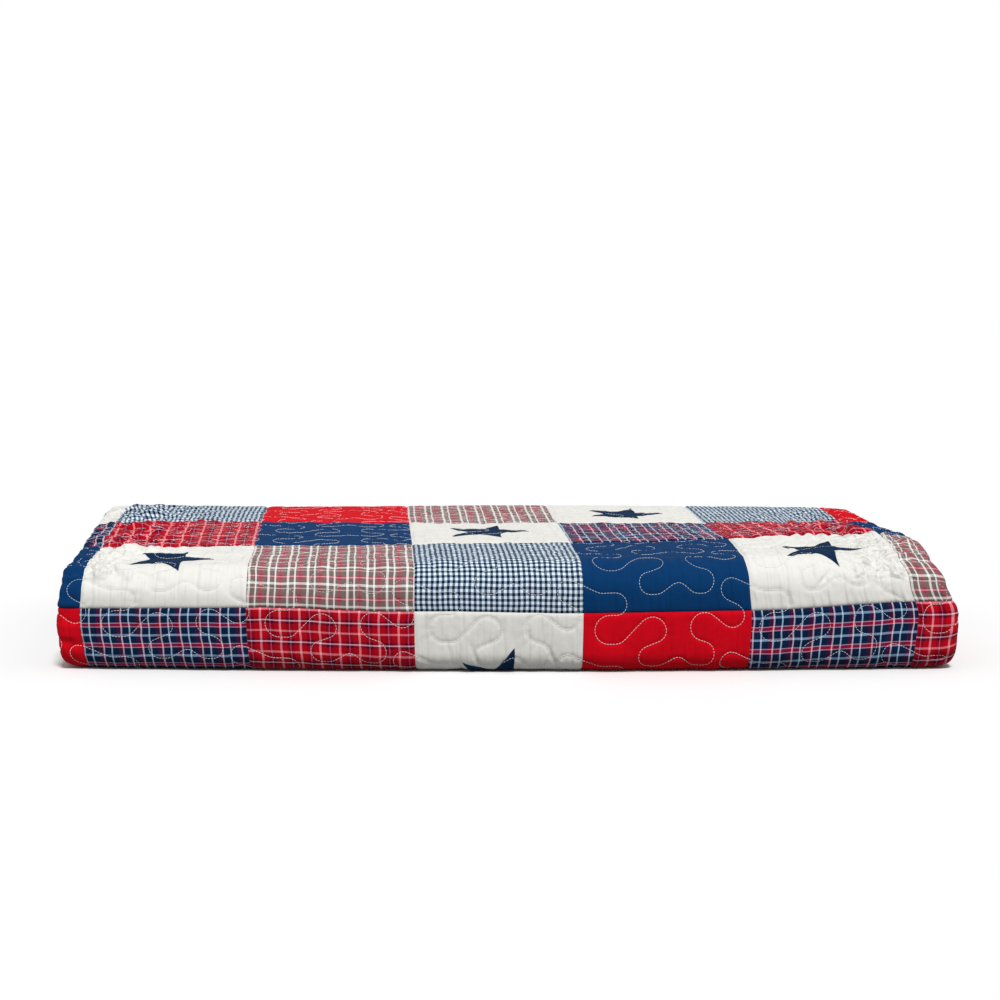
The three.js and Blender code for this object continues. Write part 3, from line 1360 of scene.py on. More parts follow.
@dataclass(frozen=True)
class CottonFinish:
    """A woven cotton.

    Args:
        warp: The yarns that u crosses.
        weft: The yarns that v crosses.
        contrast: How much lighter and darker the yarns vary.
        lighter: How much the lighter of two crossing yarns hides the darker one.
        crumple: The height of the sharper crumples at both ends of the stack's top.
        crumple_ends: Over which X they come up, towards each end.
        crumple_level: Over which Z they come up.
    """

    name: str
    warp: Stripes
    weft: Stripes
    contrast: float = 0.16
    lighter: float = 0.4
    relief: float = 0.00006
    relief_strength: float = 0.6
    crinkle: float = 0.0028
    crumple: float = 0.011
    crumple_scale: float = 75.0
    crumple_ends: tuple[Pair, ...] = ((-0.265, -0.335), (0.235, 0.30))
    crumple_level: Pair = (0.066, 0.080)
    roughness: float = 0.88
    rough_swing: float = -0.2
    sheen: float = 0.03
    sheen_roughness: float = 0.5
    specular: float = 0.1

    def material(self, weave: NodeTree) -> Material:
        """Builds the material.

        Args:
            weave: The group of WovenCotton.

        Returns:
            The material.
        """
        made, wire, shader = new_material(self.name)
        cloth = wire.node("UVMap", uv_map=WEAVE_MAP).outputs[0]
        woven = wire.node("Group", node_tree=weave)
        wire.feed(woven, {"Cloth": cloth})
        place = wire.node("SeparateXYZ", {0: cloth})
        warp = self.warp.ramp(wire, place.outputs[0])
        weft = self.weft.ramp(wire, place.outputs[1])
        crossed = wire.mix(woven.outputs["Over"], warp, weft)
        light = wire.mix(1.0, warp, weft, "LIGHTEN")
        colour = wire.straighten(wire.mix(self.lighter, crossed, light))
        swing = wire.math("SUBTRACT", woven.outputs["Shade"], 0.5)
        shade = wire.math("MULTIPLY_ADD", swing, self.contrast * 2, 1.0)
        toned = wire.node("VectorMath", {0: colour, 1: shade}, operation="MULTIPLY")
        uneven = wire.math("MULTIPLY", woven.outputs["Crinkle"], self.crinkle)
        uneven = wire.math("MULTIPLY_ADD", self._crumples(wire), self.crumple, uneven)
        crinkled = wire.node("Bump", {"Height": uneven, "Distance": 1.0, "Strength": 1.0})
        weaving = {"Height": woven.outputs["Height"], "Normal": crinkled.outputs[0]}
        weaving |= {"Distance": self.relief, "Strength": self.relief_strength}
        dress = {
            "Base Color": toned.outputs[0],
            "Roughness": wire.math("MULTIPLY_ADD", swing, self.rough_swing, self.roughness),
            "Normal": wire.node("Bump", weaving).outputs[0],
            "Sheen Weight": self.sheen,
            "Sheen Roughness": self.sheen_roughness,
            "Specular IOR Level": self.specular,
        }
        wire.feed(shader, dress)
        return made

    def _crumples(self, wire: Wiring) -> NodeSocket:
        """Adds ridges that run together, with the strength that they have at each place.

        Args:
            wire: The tree to add to.

        Returns:
            Their height, as a part of the greatest one.
        """
        place = wire.node("TexCoord").outputs["Object"]
        folds = wire.noise(place, self.crumple_scale, 2.0)
        ridge = wire.math("ABSOLUTE", wire.math("SUBTRACT", folds, 0.5))
        apart = wire.node("SeparateXYZ", {0: place})
        ends = (wire.step(apart.outputs[0], edge) for edge in self.crumple_ends)
        strength = wire.math("ADD", *ends)
        strength = wire.math("MULTIPLY", strength, wire.step(apart.outputs[2], self.crumple_level))
        return wire.math("MULTIPLY", ridge, strength)


NAVY_YARN = (0, 58, 104)
DEEP_NAVY = (0, 34, 66)
TEAL_NAVY = (0, 38, 70)
STAR_NAVY = (3, 44, 76)
CHECK_NAVY = (4, 26, 56)
CHECK_WHITE = (226, 240, 250)
PURE_WHITE = (255, 255, 252)
OFF_WHITE = (233, 232, 226)
PINK_WHITE = (255, 215, 228)
ROSE_WHITE = (255, 235, 242)
PALE_BLUE = (213, 233, 254)
ICE_BLUE = (186, 208, 240)
RED_YARN = (214, 0, 31)
DEEP_RED = (180, 0, 31)
CRIMSON = (200, 0, 50)
CHERRY = (190, 0, 40)
MAROON = (96, 0, 32)
WINE = (92, 0, 46)
INK = (48, 0, 42)
CORAL = (255, 172, 174)
SALMON = (255, 165, 170)
PINK = (245, 190, 210)
SHELL = (235, 205, 205)
ROSE = (200, 100, 135)
MAUVE = (150, 70, 92)
WARM_GRAY = (118, 106, 100)


def bands(*given: tuple[float, float, Colour]) -> tuple[Band, ...]:
    """The bands with these starts, widths and colours."""
    return tuple(Band(*band) for band in given)


def plain(name: str, colour: Colour, contrast: float = 0.16) -> CottonFinish:
    """A cotton of one colour both ways."""
    return CottonFinish(name, Stripes(100.0, colour), Stripes(100.0, colour), contrast)


CHECKS = Stripes(4.2, CHECK_WHITE, bands((0.0, 2.1, CHECK_NAVY)))
NAVY_WARP = bands((0.0, 1.2, PINK_WHITE), (6.5, 1.1, PALE_BLUE), (12.4, 3.3, WINE))
NAVY_WEFT = bands((0.0, 1.8, ICE_BLUE), (7.5, 0.7, PINK), (8.2, 2.4, CRIMSON), (10.6, 0.7, PINK))
RED_WARP = bands((0.0, 1.7, CORAL), (5.8, 2.3, MAROON), (8.1, 0.8, ROSE), (8.9, 2.3, MAROON))
RED_WEFT = bands((0.0, 1.6, CORAL), (6.6, 2.0, INK), (8.6, 1.1, ROSE_WHITE), (9.7, 1.9, INK))
GRAY_WARP = bands(
    (0.0, 1.9, PURE_WHITE), (5.65, 1.3, PURE_WHITE), (8.3, 1.6, MAUVE), (9.9, 0.8, CHERRY),
    (10.7, 1.6, MAUVE),
)
GRAY_WEFT = bands(
    (0.0, 1.9, PURE_WHITE), (5.2, 1.2, MAUVE), (6.4, 1.1, SALMON), (7.5, 1.2, MAUVE),
    (12.9, 0.8, SHELL),
)
FINISHES = {
    Fabric.NAVY_PLAID: CottonFinish(
        "navy_plaid_cotton",
        Stripes(15.7, TEAL_NAVY, NAVY_WARP),
        Stripes(17.0, TEAL_NAVY, NAVY_WEFT),
    ),
    Fabric.RED_PLAID: CottonFinish(
        "red_plaid_cotton",
        Stripes(15.4, DEEP_RED, RED_WARP),
        Stripes(17.3, DEEP_RED, RED_WEFT),
        lighter=0.35,
    ),
    Fabric.GRAY_PLAID: CottonFinish(
        "gray_plaid_cotton",
        Stripes(15.5, WARM_GRAY, GRAY_WARP),
        Stripes(16.0, WARM_GRAY, GRAY_WEFT),
    ),
    Fabric.GINGHAM: CottonFinish("navy_gingham_cotton", CHECKS, CHECKS, lighter=0.0),
    Fabric.NAVY: plain("plain_navy_cotton", NAVY_YARN),
    Fabric.RED: plain("plain_red_cotton", RED_YARN),
    Fabric.WHITE: plain("plain_white_cotton", OFF_WHITE, 0.05),
    Fabric.BACKING: plain("navy_backing_cotton", DEEP_NAVY),
}
STAR_FINISH = plain("navy_star_cotton", STAR_NAVY)
BINDING_FINISH = plain("navy_binding_cotton", NAVY_YARN)

# Where the patches on the front were cut from their cloths: how far their lower left corners
# lie into the repeat across and along, in millimetres, by column and row.
CUT_FROM = {
    (0, 0): (15.4, 11.35),
    (1, 0): (5.1, 9.2),
    (4, 0): (14.5, 11.65),
    (5, 0): (4.7, 8.9),
    (1, 1): (15.0, 14.1),
    (5, 1): (15.0, 14.1),
}


@dataclass(frozen=True)
class ThreadFinish:
    """A twisted sewing thread, with painted shade: its colour is darker in the grooves of its
    twist.
    """

    name: str
    colour: Colour
    twist_scale: float = 900.0
    twist_waver: float = 1.5
    # How dark the painted shade in the twist's grooves is, as a part of the thread's colour.
    darker: float = 0.92
    relief: float = 0.0001
    relief_strength: float = 0.4
    roughness: float = 0.6

    def material(self) -> Material:
        """Builds the material, with the thread's twist as bump and as painted shade in its grooves.

        Returns:
            The material.
        """
        made, wire, shader = new_material(self.name)
        twisting = {"Vector": wire.node("TexCoord").outputs["Object"], "Scale": self.twist_scale}
        twisting |= {"Distortion": self.twist_waver}
        twist = wire.node("TexWave", twisting).outputs[1]
        # Painted shade: the thread's colour is darker where the twist's bump is low.
        darker = tuple(round(part * self.darker) for part in self.colour)
        tone = wire.straighten(wire.mix(twist, shown(darker), shown(self.colour)))
        grooves = {"Height": twist, "Distance": self.relief, "Strength": self.relief_strength}
        bump = wire.node("Bump", grooves).outputs[0]
        wire.feed(shader, {"Base Color": tone, "Normal": bump, "Roughness": self.roughness})
        return made


# The pieces


def mesh_piece(
    name: str, points: Array, faces: Sequence[Array], materials: Sequence[Material]
) -> Object:
    """Makes an object from points and faces.

    Args:
        name: The piece's name.
        points: Its vertices.
        faces: Arrays of faces, each with the same number of corners in all its rows.
        materials: Its material slots.

    Returns:
        The object, smooth shaded and linked to the scene.
    """
    mesh = bpy.data.meshes.new(name)
    corners = np.concatenate([f.ravel() for f in faces])
    sizes = np.concatenate([np.full(len(f), f.shape[1]) for f in faces])
    starts = np.concatenate(([0], np.cumsum(sizes)[:-1]))
    mesh.vertices.add(len(points))
    mesh.vertices.foreach_set("co", points.astype(np.float32).ravel())
    mesh.loops.add(len(corners))
    mesh.loops.foreach_set("vertex_index", corners.astype(np.int32))
    mesh.polygons.add(len(sizes))
    mesh.polygons.foreach_set("loop_start", starts.astype(np.int32))
    mesh.polygons.foreach_set("use_smooth", np.ones(len(sizes), dtype=bool))
    for material in materials:
        mesh.materials.append(material)
    mesh.update(calc_edges=True)
    made = bpy.data.objects.new(name, mesh)
    bpy.context.collection.objects.link(made)
    return made


def set_map(piece: Object, name: str, places: Array) -> None:
    """Gives a piece a UV map.

    Args:
        piece: The piece.
        name: The map's name.
        places: A pair for each corner of each face, in order.
    """
    layer = piece.data.uv_layers.new(name=name)
    layer.data.foreach_set("uv", places.astype(np.float32).ravel())


@dataclass
class QuiltRow:
    """One row of patches with its filling and backing, a strip across the whole quilt.

    Row 0 is at the foot of the front, and begin and end are places along the quilt.
    """

    surface: QuiltSurface
    row: int
    begin: float
    end: float
    near_step: float = 0.0012
    top_step: float = 0.0023
    plain_step: float = 0.010
    inner_step: float = 0.035
    fold_step: float = 0.010
    hidden_step: float = 0.02
    under_step: float = 0.004
    round_step: float = 0.002
    inner_round_step: float = 0.0035
    side_round_step: float = 0.0015
    foot_margin: float = 0.004
    # Where the mesh is finer across the quilt, from the ends of the outer ply outwards.
    fold_reach: float = 0.05
    fine_reach: Pair = (0.012, 0.020)
    back_share: float = 2.6
    cut_seed: int = 900
    cut_reach: float = 0.05
    cut_lean: float = 0.5
    most_patches: int = 64
    warp_wobble: Noise = Noise(0.03, 0.008, 21, 0.00045)
    weft_wobble: Noise = Noise(0.012, 0.03, 22, 0.0004)
    even_stretch: float = 1.2
    # How the row lies on its flat square, with bands for three plies on each face.
    band_cuts: Pair = (-0.02, 0.03)
    band_gap: float = 0.004
    band_room: float = 0.006
    band_scale: Pair = (1.33, 0.97)
    small_band: float = 0.8
    rim_hang: Pair = (0.003, 0.004)

    @property
    def name(self) -> str:
        """The piece's name."""
        return f"quilt_row_{self.row + 4:02d}"

    @property
    def shown(self) -> bool:
        """Whether a part of the row lies on the front or the top of the stack."""
        return self.end > self.surface.front_start and self.begin < self.surface.back_end

    def _steps(self) -> tuple[Array, Array]:
        """Spaces the lines of the row's mesh.

        Returns:
            Their places across the quilt and along it.
        """
        surface = self.surface
        cloth = surface.cloth
        edge = surface.patchwork.bound_inset
        hem = surface.patchwork.bound_edge
        hems = np.array((hem - surface.hem_blend, hem + surface.hem_blend))
        fine = self.hidden_step
        if self.shown:
            fine = self.near_step if self.row in (0, 1) else self.top_step
        stops = np.array((self.begin, surface.front_start - self.foot_margin, self.end))
        if not self.begin < stops[1] < self.end:
            stops = stops[[0, 2]]
        found = []
        for low, high in zip(stops[:-1], stops[1:]):
            step = self.plain_step
            if self.shown:
                step = self.under_step if high < surface.front_start else fine
            rounds = min(step, self.round_step) if self.shown else self.inner_round_step
            found.append(cloth.along.marks(low, high, step, rounds))
        ends = np.concatenate((hems, cloth.along.length - hems))
        found.append(ends[(ends > self.begin + HAIR) & (ends < self.end - HAIR)])
        along = self._sorted_lines(found)
        ends = np.concatenate((surface.seams_u(), hems, cloth.across.length - hems))
        stops = [edge, surface.ply_start - self.fold_reach, surface.ply_start - self.fine_reach[0]]
        stops += [surface.ply_end + self.fine_reach[1], surface.ply_end + self.fold_reach]
        stops.append(cloth.across.length - edge)
        steps = [self.inner_step, self.fold_step, fine, self.fold_step, self.inner_step]
        found = []
        for low, high, step in zip(stops[:-1], stops[1:], steps):
            inside = np.sort(ends[(ends > low + HAIR) & (ends < high - HAIR)])
            bounds = [low, *inside, high]
            for a, b in zip(bounds[:-1], bounds[1:]):
                found.append(cloth.across.marks(a, b, step, min(step, self.side_round_step)))
        return self._sorted_lines(found), along

    def _sorted_lines(self, found: list[Array]) -> Array:
        """The places of a mesh's lines in order, each once."""
        return np.unique(np.round(np.concatenate(found), 7))

    def _back_lines(self, line: Array, folds: RoundedLine) -> Array:
        """Picks the lines that the backing's mesh has, fewer than the face's on the flat.

        Args:
            line: The places of the face's lines.
            folds: The folded line that they cross.

        Returns:
            Their numbers, the first and the last included.
        """
        fine = self.near_step * self.back_share if self.shown else 0.0
        bent = folds.in_round(line)
        kept = [0]
        for number in range(1, len(line)):
            far = line[number] - line[kept[-1]] >= fine
            if bent[number] or far or number + 1 == len(line):
                kept.append(number)
        return np.array(kept)

    def _weave_places(self, u: Array, v: Array, column: Array) -> Array:
        """Where each corner lies on the bolt of cloth that its patch was cut from.

        Args:
            u: The corners' places across the quilt.
            v: Their places along it.
            column: The column of the patch that each corner belongs to.

        Returns:
            The pairs.
        """
        surface = self.surface
        side = surface.patchwork.side
        pick = np.random.default_rng(self.cut_seed + self.row)
        shift = pick.uniform(0, self.cut_reach, (self.most_patches, 2))
        turn = np.radians(pick.uniform(-self.cut_lean, self.cut_lean, self.most_patches))
        for (cut_column, cut_row), place in CUT_FROM.items():
            if cut_row == self.row:
                shift[cut_column] = np.array(place) / MM_IN_M
                turn[cut_column] = 0.0
        number = column % self.most_patches
        du = u - surface.seam_u - column * side
        dv = v - surface.row_seam(self.row)
        du = du + self.warp_wobble.at(u, v)
        dv = dv + self.weft_wobble.at(u, v)
        a = du * np.cos(turn[number]) - dv * np.sin(turn[number]) + shift[number, 0]
        b = du * np.sin(turn[number]) + dv * np.cos(turn[number]) + shift[number, 1]
        return np.stack((a, b), axis=-1)

    def _drawn_out(self, v: Array, face: Array) -> Array:
        """Where the face's corners lie along the cloth, which a tight fold needs more of.

        Args:
            v: Their places along the quilt.
            face: Their points in the stack.

        Returns:
            Their places along the cloth. Only inner rows differ there.
        """
        if self.shown:
            return v
        flat = np.diff(v, axis=0)
        stretch = np.linalg.norm(np.diff(face, axis=0), axis=-1) / flat
        more = flat * np.maximum(stretch - self.even_stretch, 0)
        return np.concatenate((v[:1], v[1:] + np.cumsum(more, axis=0)))

    def _bake_places(self, u: Array, v: Array, back: Array, rim: Array) -> Array:
        """Lays the row out flat on a unit square: six bands, the outer ply's face the largest.

        Args:
            u: The corners' places across the quilt.
            v: Their places along it.
            back: Whether each face is on the backing.
            rim: How far past the row's edge each corner's face hangs, on the strip's own rims.

        Returns:
            The pairs.
        """
        surface = self.surface
        length = surface.cloth.across.length
        left, right = self.band_cuts
        cuts = np.array((0.0, surface.ply_start + left, surface.ply_end + right, length))
        third = np.clip(np.searchsorted(cuts, u.mean(axis=1)) - 1, 0, 2)[:, None]
        band = third + 3 * back[:, None]
        tall = self.end - self.begin + 2 * self.band_room
        widest, full = self.band_scale
        wide = min(widest, full / (5 * tall))
        large = band == 1
        scale = np.where(large, wide, self.small_band * wide)
        order = np.array((1, 0, 2, 3, 4, 5))[band]
        pitch = tall * self.small_band * wide + self.band_gap
        above = self.band_gap + tall * wide + (order - 1) * pitch
        x = self.band_gap + (u - cuts[third]) * scale
        y = np.where(large, self.band_gap, above) + (v - self.begin + self.band_room + rim) * scale
        return np.stack((x, y), axis=-1)

    def _faces(self, count_u: int, count_v: int, back_u: Array, back_v: Array) -> list:
        """The row's faces by their number of corners.

        Args:
            count_u: The number of the face's lines across.
            count_v: The number of its lines along.
            back_u: Which of the lines across the backing has.
            back_v: Which of the lines along it has.

        Returns:
            Pairs of an array of faces and the kind of each: 0 the patches, 1 the backing, then
            the rims at the row's start, its end, the quilt's inner and its left-hand side.
        """
        face = np.arange(count_u * count_v).reshape(count_v, count_u)
        back = face.size + np.arange(len(back_u) * len(back_v)).reshape(len(back_v), len(back_u))
        sheets = []
        for grid in (face, back):
            corners = (grid[:-1, :-1], grid[:-1, 1:], grid[1:, 1:], grid[1:, :-1])
            sheets.append(np.stack(corners, axis=-1).reshape(-1, 4))
        rims = (
            (face[0], back[0], back_u, True),
            (face[-1], back[-1], back_u, False),
            (face[:, 0], back[:, 0], back_v, False),
            (face[:, -1], back[:, -1], back_v, True),
        )
        found: dict[int, tuple[list, list]] = {4: ([], [])}
        for kind, (fine, coarse, kept, flip) in enumerate(rims, start=2):
            for i in range(len(kept) - 1):
                loop = [*fine[kept[i] : kept[i + 1] + 1], coarse[i + 1], coarse[i]]
                rows, kinds = found.setdefault(len(loop), ([], []))
                rows.append(loop[::-1] if flip else loop)
                kinds.append(kind)
        groups = [(sheets[0], np.zeros(len(sheets[0]), dtype=int))]
        groups.append((sheets[1][:, ::-1], np.ones(len(sheets[1]), dtype=int)))
        groups += [(np.array(rows), np.array(kinds)) for rows, kinds in found.values() if rows]
        return groups

    def build(self, materials: dict[Fabric, Material]) -> Object:
        """Builds and dresses the row, and notes the height of its face.

        Args:
            materials: A material for each cloth.

        Returns:
            The piece.
        """
        surface = self.surface
        u_line, v_line = self._steps()
        back_u = self._back_lines(u_line, surface.cloth.across)
        back_v = self._back_lines(v_line, surface.cloth.along)
        u, v = np.meshgrid(u_line, v_line)
        lift = surface.lift(u, v)
        surface.grids.append(FaceGrid(u_line, v_line, lift))
        under_u, under_v = np.meshgrid(u_line[back_u], v_line[back_v])
        face = surface.place(u, v, lift)
        back = surface.place(under_u, under_v, surface.back_lift(under_u, under_v))
        points = np.concatenate((face.reshape(-1, 3), back.reshape(-1, 3)))
        flat_u = np.concatenate((u.ravel(), under_u.ravel()))
        flat_v = np.concatenate((v.ravel(), under_v.ravel()))
        drawn = self._drawn_out(v, face)
        along = np.concatenate((drawn.ravel(), drawn[back_v][:, back_u].ravel()))
        groups = self._faces(len(u_line), len(v_line), back_u, back_v)
        kind = np.concatenate([kinds for _, kinds in groups])
        column = np.concatenate([surface.column_of(flat_u[f].mean(axis=1)) for f, _ in groups])
        fabrics = [surface.patchwork.fabric(int(c), self.row) for c in column]
        used = sorted({f.value for f in fabrics}) + [Fabric.BACKING.value]
        slots = [materials[Fabric(value)] for value in used]
        piece = mesh_piece(self.name, points, [f for f, _ in groups], slots)
        index = np.array([used.index(f.value) for f in fabrics])
        index[kind == 1] = len(used) - 1
        piece.data.polygons.foreach_set("material_index", index.astype(np.int32))
        weave, bake = [], []
        done = 0
        for faces, kinds in groups:
            corner_u = flat_u[faces]
            corner_v = flat_v[faces]
            patch = column[done : done + len(faces), None]
            done += len(faces)
            weave.append(self._weave_places(corner_u, along[faces], patch).reshape(-1, 2))
            on_back = faces >= face.size // 3
            out_u, out_v = (
                hang * np.select([kinds == first, kinds == first + 1], [-1.0, 1.0], 0.0)
                for hang, first in zip(self.rim_hang, (4, 2))
            )
            out_u = out_u[:, None] * on_back
            out_v = out_v[:, None] * on_back
            place = self._bake_places(corner_u + out_u, corner_v, kinds == 1, out_v)
            bake.append(place.reshape(-1, 2))
        set_map(piece, WEAVE_MAP, np.concatenate(weave))
        set_map(piece, BAKE_MAP, np.concatenate(bake))
        piece.data.uv_layers.active = piece.data.uv_layers[WEAVE_MAP]
        return piece


@dataclass
class StarAppliques:
    """The navy stars sewn on the white patches."""

    surface: QuiltSurface
    waist: float = 0.405
    proud: float = 0.00055
    sunk: float = 0.0004
    bridge: float = 0.0008
    waver: Noise = Noise(0.011, 0.011, 40, 0.0007)
    waver_shift: Pair = (0.2, 0.1)
    points: int = 5
    rings: int = 22
    ring_spread: float = 0.9
    edge_drop: float = 0.5
    edge_power: int = 18
    side_steps: int = 14
    seam_share: float = 0.93
    cut_apart: float = 0.04

    def outline(self, radius: float, seed: int) -> Array:
        """A five-pointed star about its centre, one point up, cut a little unevenly.

        Args:
            radius: The distance of its points from its centre.
            seed: Which star it is.

        Returns:
            Its points, evenly spaced on each side.
        """
        tips = []
        for i in range(2 * self.points):
            angle = pi / 2 + i * pi / self.points
            reach = radius * (self.waist if i % 2 else 1.0)
            tips.append((reach * cos(angle), reach * sin(angle)))
        tips.append(tips[0])
        corners = np.array(tips)
        t = np.linspace(0, 1, self.side_steps + 1)[:-1, None]
        sides = [a * (1 - t) + b * t for a, b in zip(corners[:-1], corners[1:])]
        edge = np.concatenate(sides)
        for axis in (0, 1):
            far_u, far_v = self.waver_shift
            edge[:, axis] += self.waver.at(edge[:, 0] + far_u * seed, edge[:, 1] + far_v * axis)
        return edge

    def turned(self, flat: Array, lean: float) -> Array:
        """Turns places on a star by its lean."""
        turn = np.array(((cos(lean), sin(lean)), (-sin(lean), cos(lean))))
        return flat @ turn

    def top(self, u: Array, v: Array) -> Array:
        """How high the stars stand above the middle of the cloth, or 0 beside them.

        Args:
            u: Places across.
            v: Places along.

        Returns:
            The heights.
        """
        inside = np.zeros(u.shape, dtype=bool)
        radius = self.surface.star_radius
        for star_u, star_v, lean in self.surface.stars:
            du = u - star_u
            dv = v - star_v
            away = np.hypot(du, dv)
            angle = (np.arctan2(dv, du) - lean - pi / 2) % (TURN / self.points)
            angle = np.minimum(angle, TURN / self.points - angle)
            sharp = pi / self.points
            waist = self.waist * sin(sharp)
            slope = 1 - self.waist * cos(sharp)
            reach = radius * waist / (waist * np.cos(angle) + slope * np.sin(angle))
            inside |= away < reach
        total = np.zeros(u.shape)
        total[inside] = self.surface.crest(u[inside], v[inside], self.bridge) + self.proud
        return total

    def build(self, material: Material) -> Object:
        """Builds all the stars as one piece.

        Args:
            material: Their cotton.

        Returns:
            The piece.
        """
        around = 2 * self.points * self.side_steps
        part = (np.arange(1, self.rings + 1) / self.rings) ** self.ring_spread
        height = 1 - part**self.edge_power * self.edge_drop
        height = np.concatenate(([1.0], np.repeat(height, around)))
        ring = np.arange(around)
        after = (ring + 1) % around
        fan = np.stack((np.zeros(around, dtype=int), 1 + ring, 1 + after), axis=1)
        bands = []
        for k in range(self.rings - 1):
            low = 1 + k * around
            high = low + around
            bands.append(np.stack((low + ring, high + ring, high + after, low + after), axis=1))
        count = 1 + self.rings * around
        rim = 1 + (self.rings - 1) * around
        wall = np.stack((rim + after, rim + ring, rim + ring + count, rim + after + count), axis=1)
        quads = np.concatenate([*bands, *[b[:, ::-1] + count for b in bands], wall])
        threes = np.concatenate((fan, fan[:, ::-1] + count))
        points, all_quads, all_threes, cloth_places = [], [], [], []
        for number, (u, v, lean) in enumerate(self.surface.stars):
            edge = self.outline(self.surface.star_radius, number)
            rings = (part[:, None, None] * edge).reshape(-1, 2)
            flat = np.concatenate((np.zeros((1, 2)), rings))
            spot = self.turned(flat, lean) + np.array((u, v))
            ground = self.surface.crest(spot[:, 0], spot[:, 1], self.bridge)
            place = self.surface.place
            upper = place(spot[:, 0], spot[:, 1], ground + self.proud * height)
            under = self.surface.ground(spot[:, 0], spot[:, 1])
            lower = place(spot[:, 0], spot[:, 1], under - self.sunk)
            points += [upper, lower]
            all_quads.append(quads + number * 2 * count)
            all_threes.append(threes + number * 2 * count)
            cloth_places.append(np.tile(flat + self.cut_apart * number, (2, 1)))
        faces = [np.concatenate(all_quads), np.concatenate(all_threes)]
        piece = mesh_piece("star_appliques", np.concatenate(points), faces, [material])
        corners = np.concatenate([f.ravel() for f in faces])
        set_map(piece, WEAVE_MAP, np.concatenate(cloth_places)[corners])
        return piece

    def stitch_line(self) -> tuple[Array, Array, Array]:
        """The stitches just inside the stars' edges.

        Returns:
            Their places across and along the quilt, and their directions.
        """
        us, vs, headings = [], [], []
        for number, (u, v, lean) in enumerate(self.surface.stars):
            edge = self.outline(self.surface.star_radius, number)
            inner = self.turned(edge * self.seam_share, lean)
            onward = np.roll(inner, -1, axis=0) - inner
            middle = inner + onward / 2
            us.append(u + middle[:, 0])
            vs.append(v + middle[:, 1])
            headings.append(np.arctan2(onward[:, 1], onward[:, 0]))
        return np.concatenate(us), np.concatenate(vs), np.concatenate(headings)


@dataclass
class Stitching:
    """Sewing thread on the quilt's face: one stitch, modelled once and repeated."""

    surface: QuiltSurface
    length: float = 0.0021
    thickness: float = 0.00044
    pitch: float = 0.0024
    rise: float = 0.00013
    resting: float = 0.35
    margins: Pair = (-0.004, 0.008)

    def _stitch(self) -> tuple[Array, list[Array]]:
        """Models one stitch along X.

        Returns:
            Its points, and its faces by their number of corners.
        """
        bpy.ops.object.select_all(action="DESELECT")
        bpy.ops.mesh.primitive_uv_sphere_add(segments=4, ring_count=4, radius=0.5)
        model = bpy.context.active_object
        bpy.ops.object.mode_set(mode="EDIT")
        bpy.ops.mesh.select_all(action="SELECT")
        bpy.ops.transform.rotate(
            value=pi / 2, orient_axis="Y", center_override=(0.0, 0.0, 0.0)
        )
        bpy.ops.transform.resize(value=(self.length, self.thickness, self.thickness))
        bpy.ops.object.mode_set(mode="OBJECT")
        mesh = model.data
        points = np.array([vertex.co[:] for vertex in mesh.vertices])
        faces = []
        for corners in (3, 4):
            rows = [list(p.vertices) for p in mesh.polygons if len(p.vertices) == corners]
            faces.append(np.array(rows))
        bpy.data.objects.remove(model)
        bpy.data.meshes.remove(mesh)
        return points, faces

    def sew(
        self, name: str, line: tuple[Array, Array, Array], stars: StarAppliques, material: Material
    ) -> Object:
        """Repeats the stitch along a line on the quilt.

        Args:
            name: The piece's name.
            line: The stitches' places across the quilt and along it, and their directions.
            stars: The stars, which the stitches lie on or cross.
            material: The thread.

        Returns:
            The piece.
        """
        shape, faces = self._stitch()
        half = self.length * self.resting
        u, v, heading = line
        middle, run, normal = self.surface.frames(u, v, heading, half, stars.top(u, v))
        aside = np.cross(normal, run)
        middle = middle + self.rise * normal
        points = (
            middle[:, None, :]
            + shape[None, :, 0, None] * run[:, None, :]
            + shape[None, :, 1, None] * aside[:, None, :]
            + shape[None, :, 2, None] * normal[:, None, :]
        )
        offsets = (np.arange(len(u)) * len(shape))[:, None, None]
        repeated = [(f[None] + offsets).reshape(-1, f.shape[1]) for f in faces]
        return mesh_piece(name, points.reshape(-1, 3), repeated, [material])

    def quilting(
        self, name: str, begin: float, end: float, stars: StarAppliques, material: Material
    ) -> Object:
        """The running stitch of the quilting on a stretch of the outer layer.

        Args:
            name: The piece's name.
            begin: Where the stretch starts along the quilt.
            end: Where it ends.
            stars: The stars, which the stitches cross.
            material: The thread.

        Returns:
            The piece.
        """
        meander = self.surface.meander
        path = meander.path
        count = round(meander.length / self.pitch)
        at = (np.arange(count) + 0.5) / count * len(path)
        after = np.vstack((path, path[:1] + (meander.width, 0.0)))
        spot = np.stack([np.interp(at, np.arange(len(after)), after[:, k]) for k in (0, 1)], axis=1)
        onward = np.diff(after, axis=0)[np.clip(at.astype(int), 0, len(path) - 1)]
        heading = np.arctan2(onward[:, 1], onward[:, 0])
        surface = self.surface
        first = floor((begin - surface.seam_v) / meander.pitch) - 1
        last = ceil((end - surface.seam_v) / meander.pitch) + 1
        v = surface.seam_v + np.arange(first, last + 1)[:, None] * meander.pitch + spot[:, 1]
        first = floor((surface.ply_start - surface.quilting_u) / meander.width) - 1
        last = ceil((surface.ply_end - surface.quilting_u) / meander.width)
        column = np.arange(first, last + 1)[:, None, None]
        u = surface.quilting_u + column * meander.width + spot[:, 0]
        u, v, turned = (grid.ravel() for grid in np.broadcast_arrays(u, v, heading))
        low = surface.ply_start + self.margins[0]
        high = surface.ply_end + self.margins[1]
        keep = (v >= begin) & (v < end) & (u > low) & (u < high)
        return self.sew(name, (u[keep], v[keep], turned[keep]), stars, material)


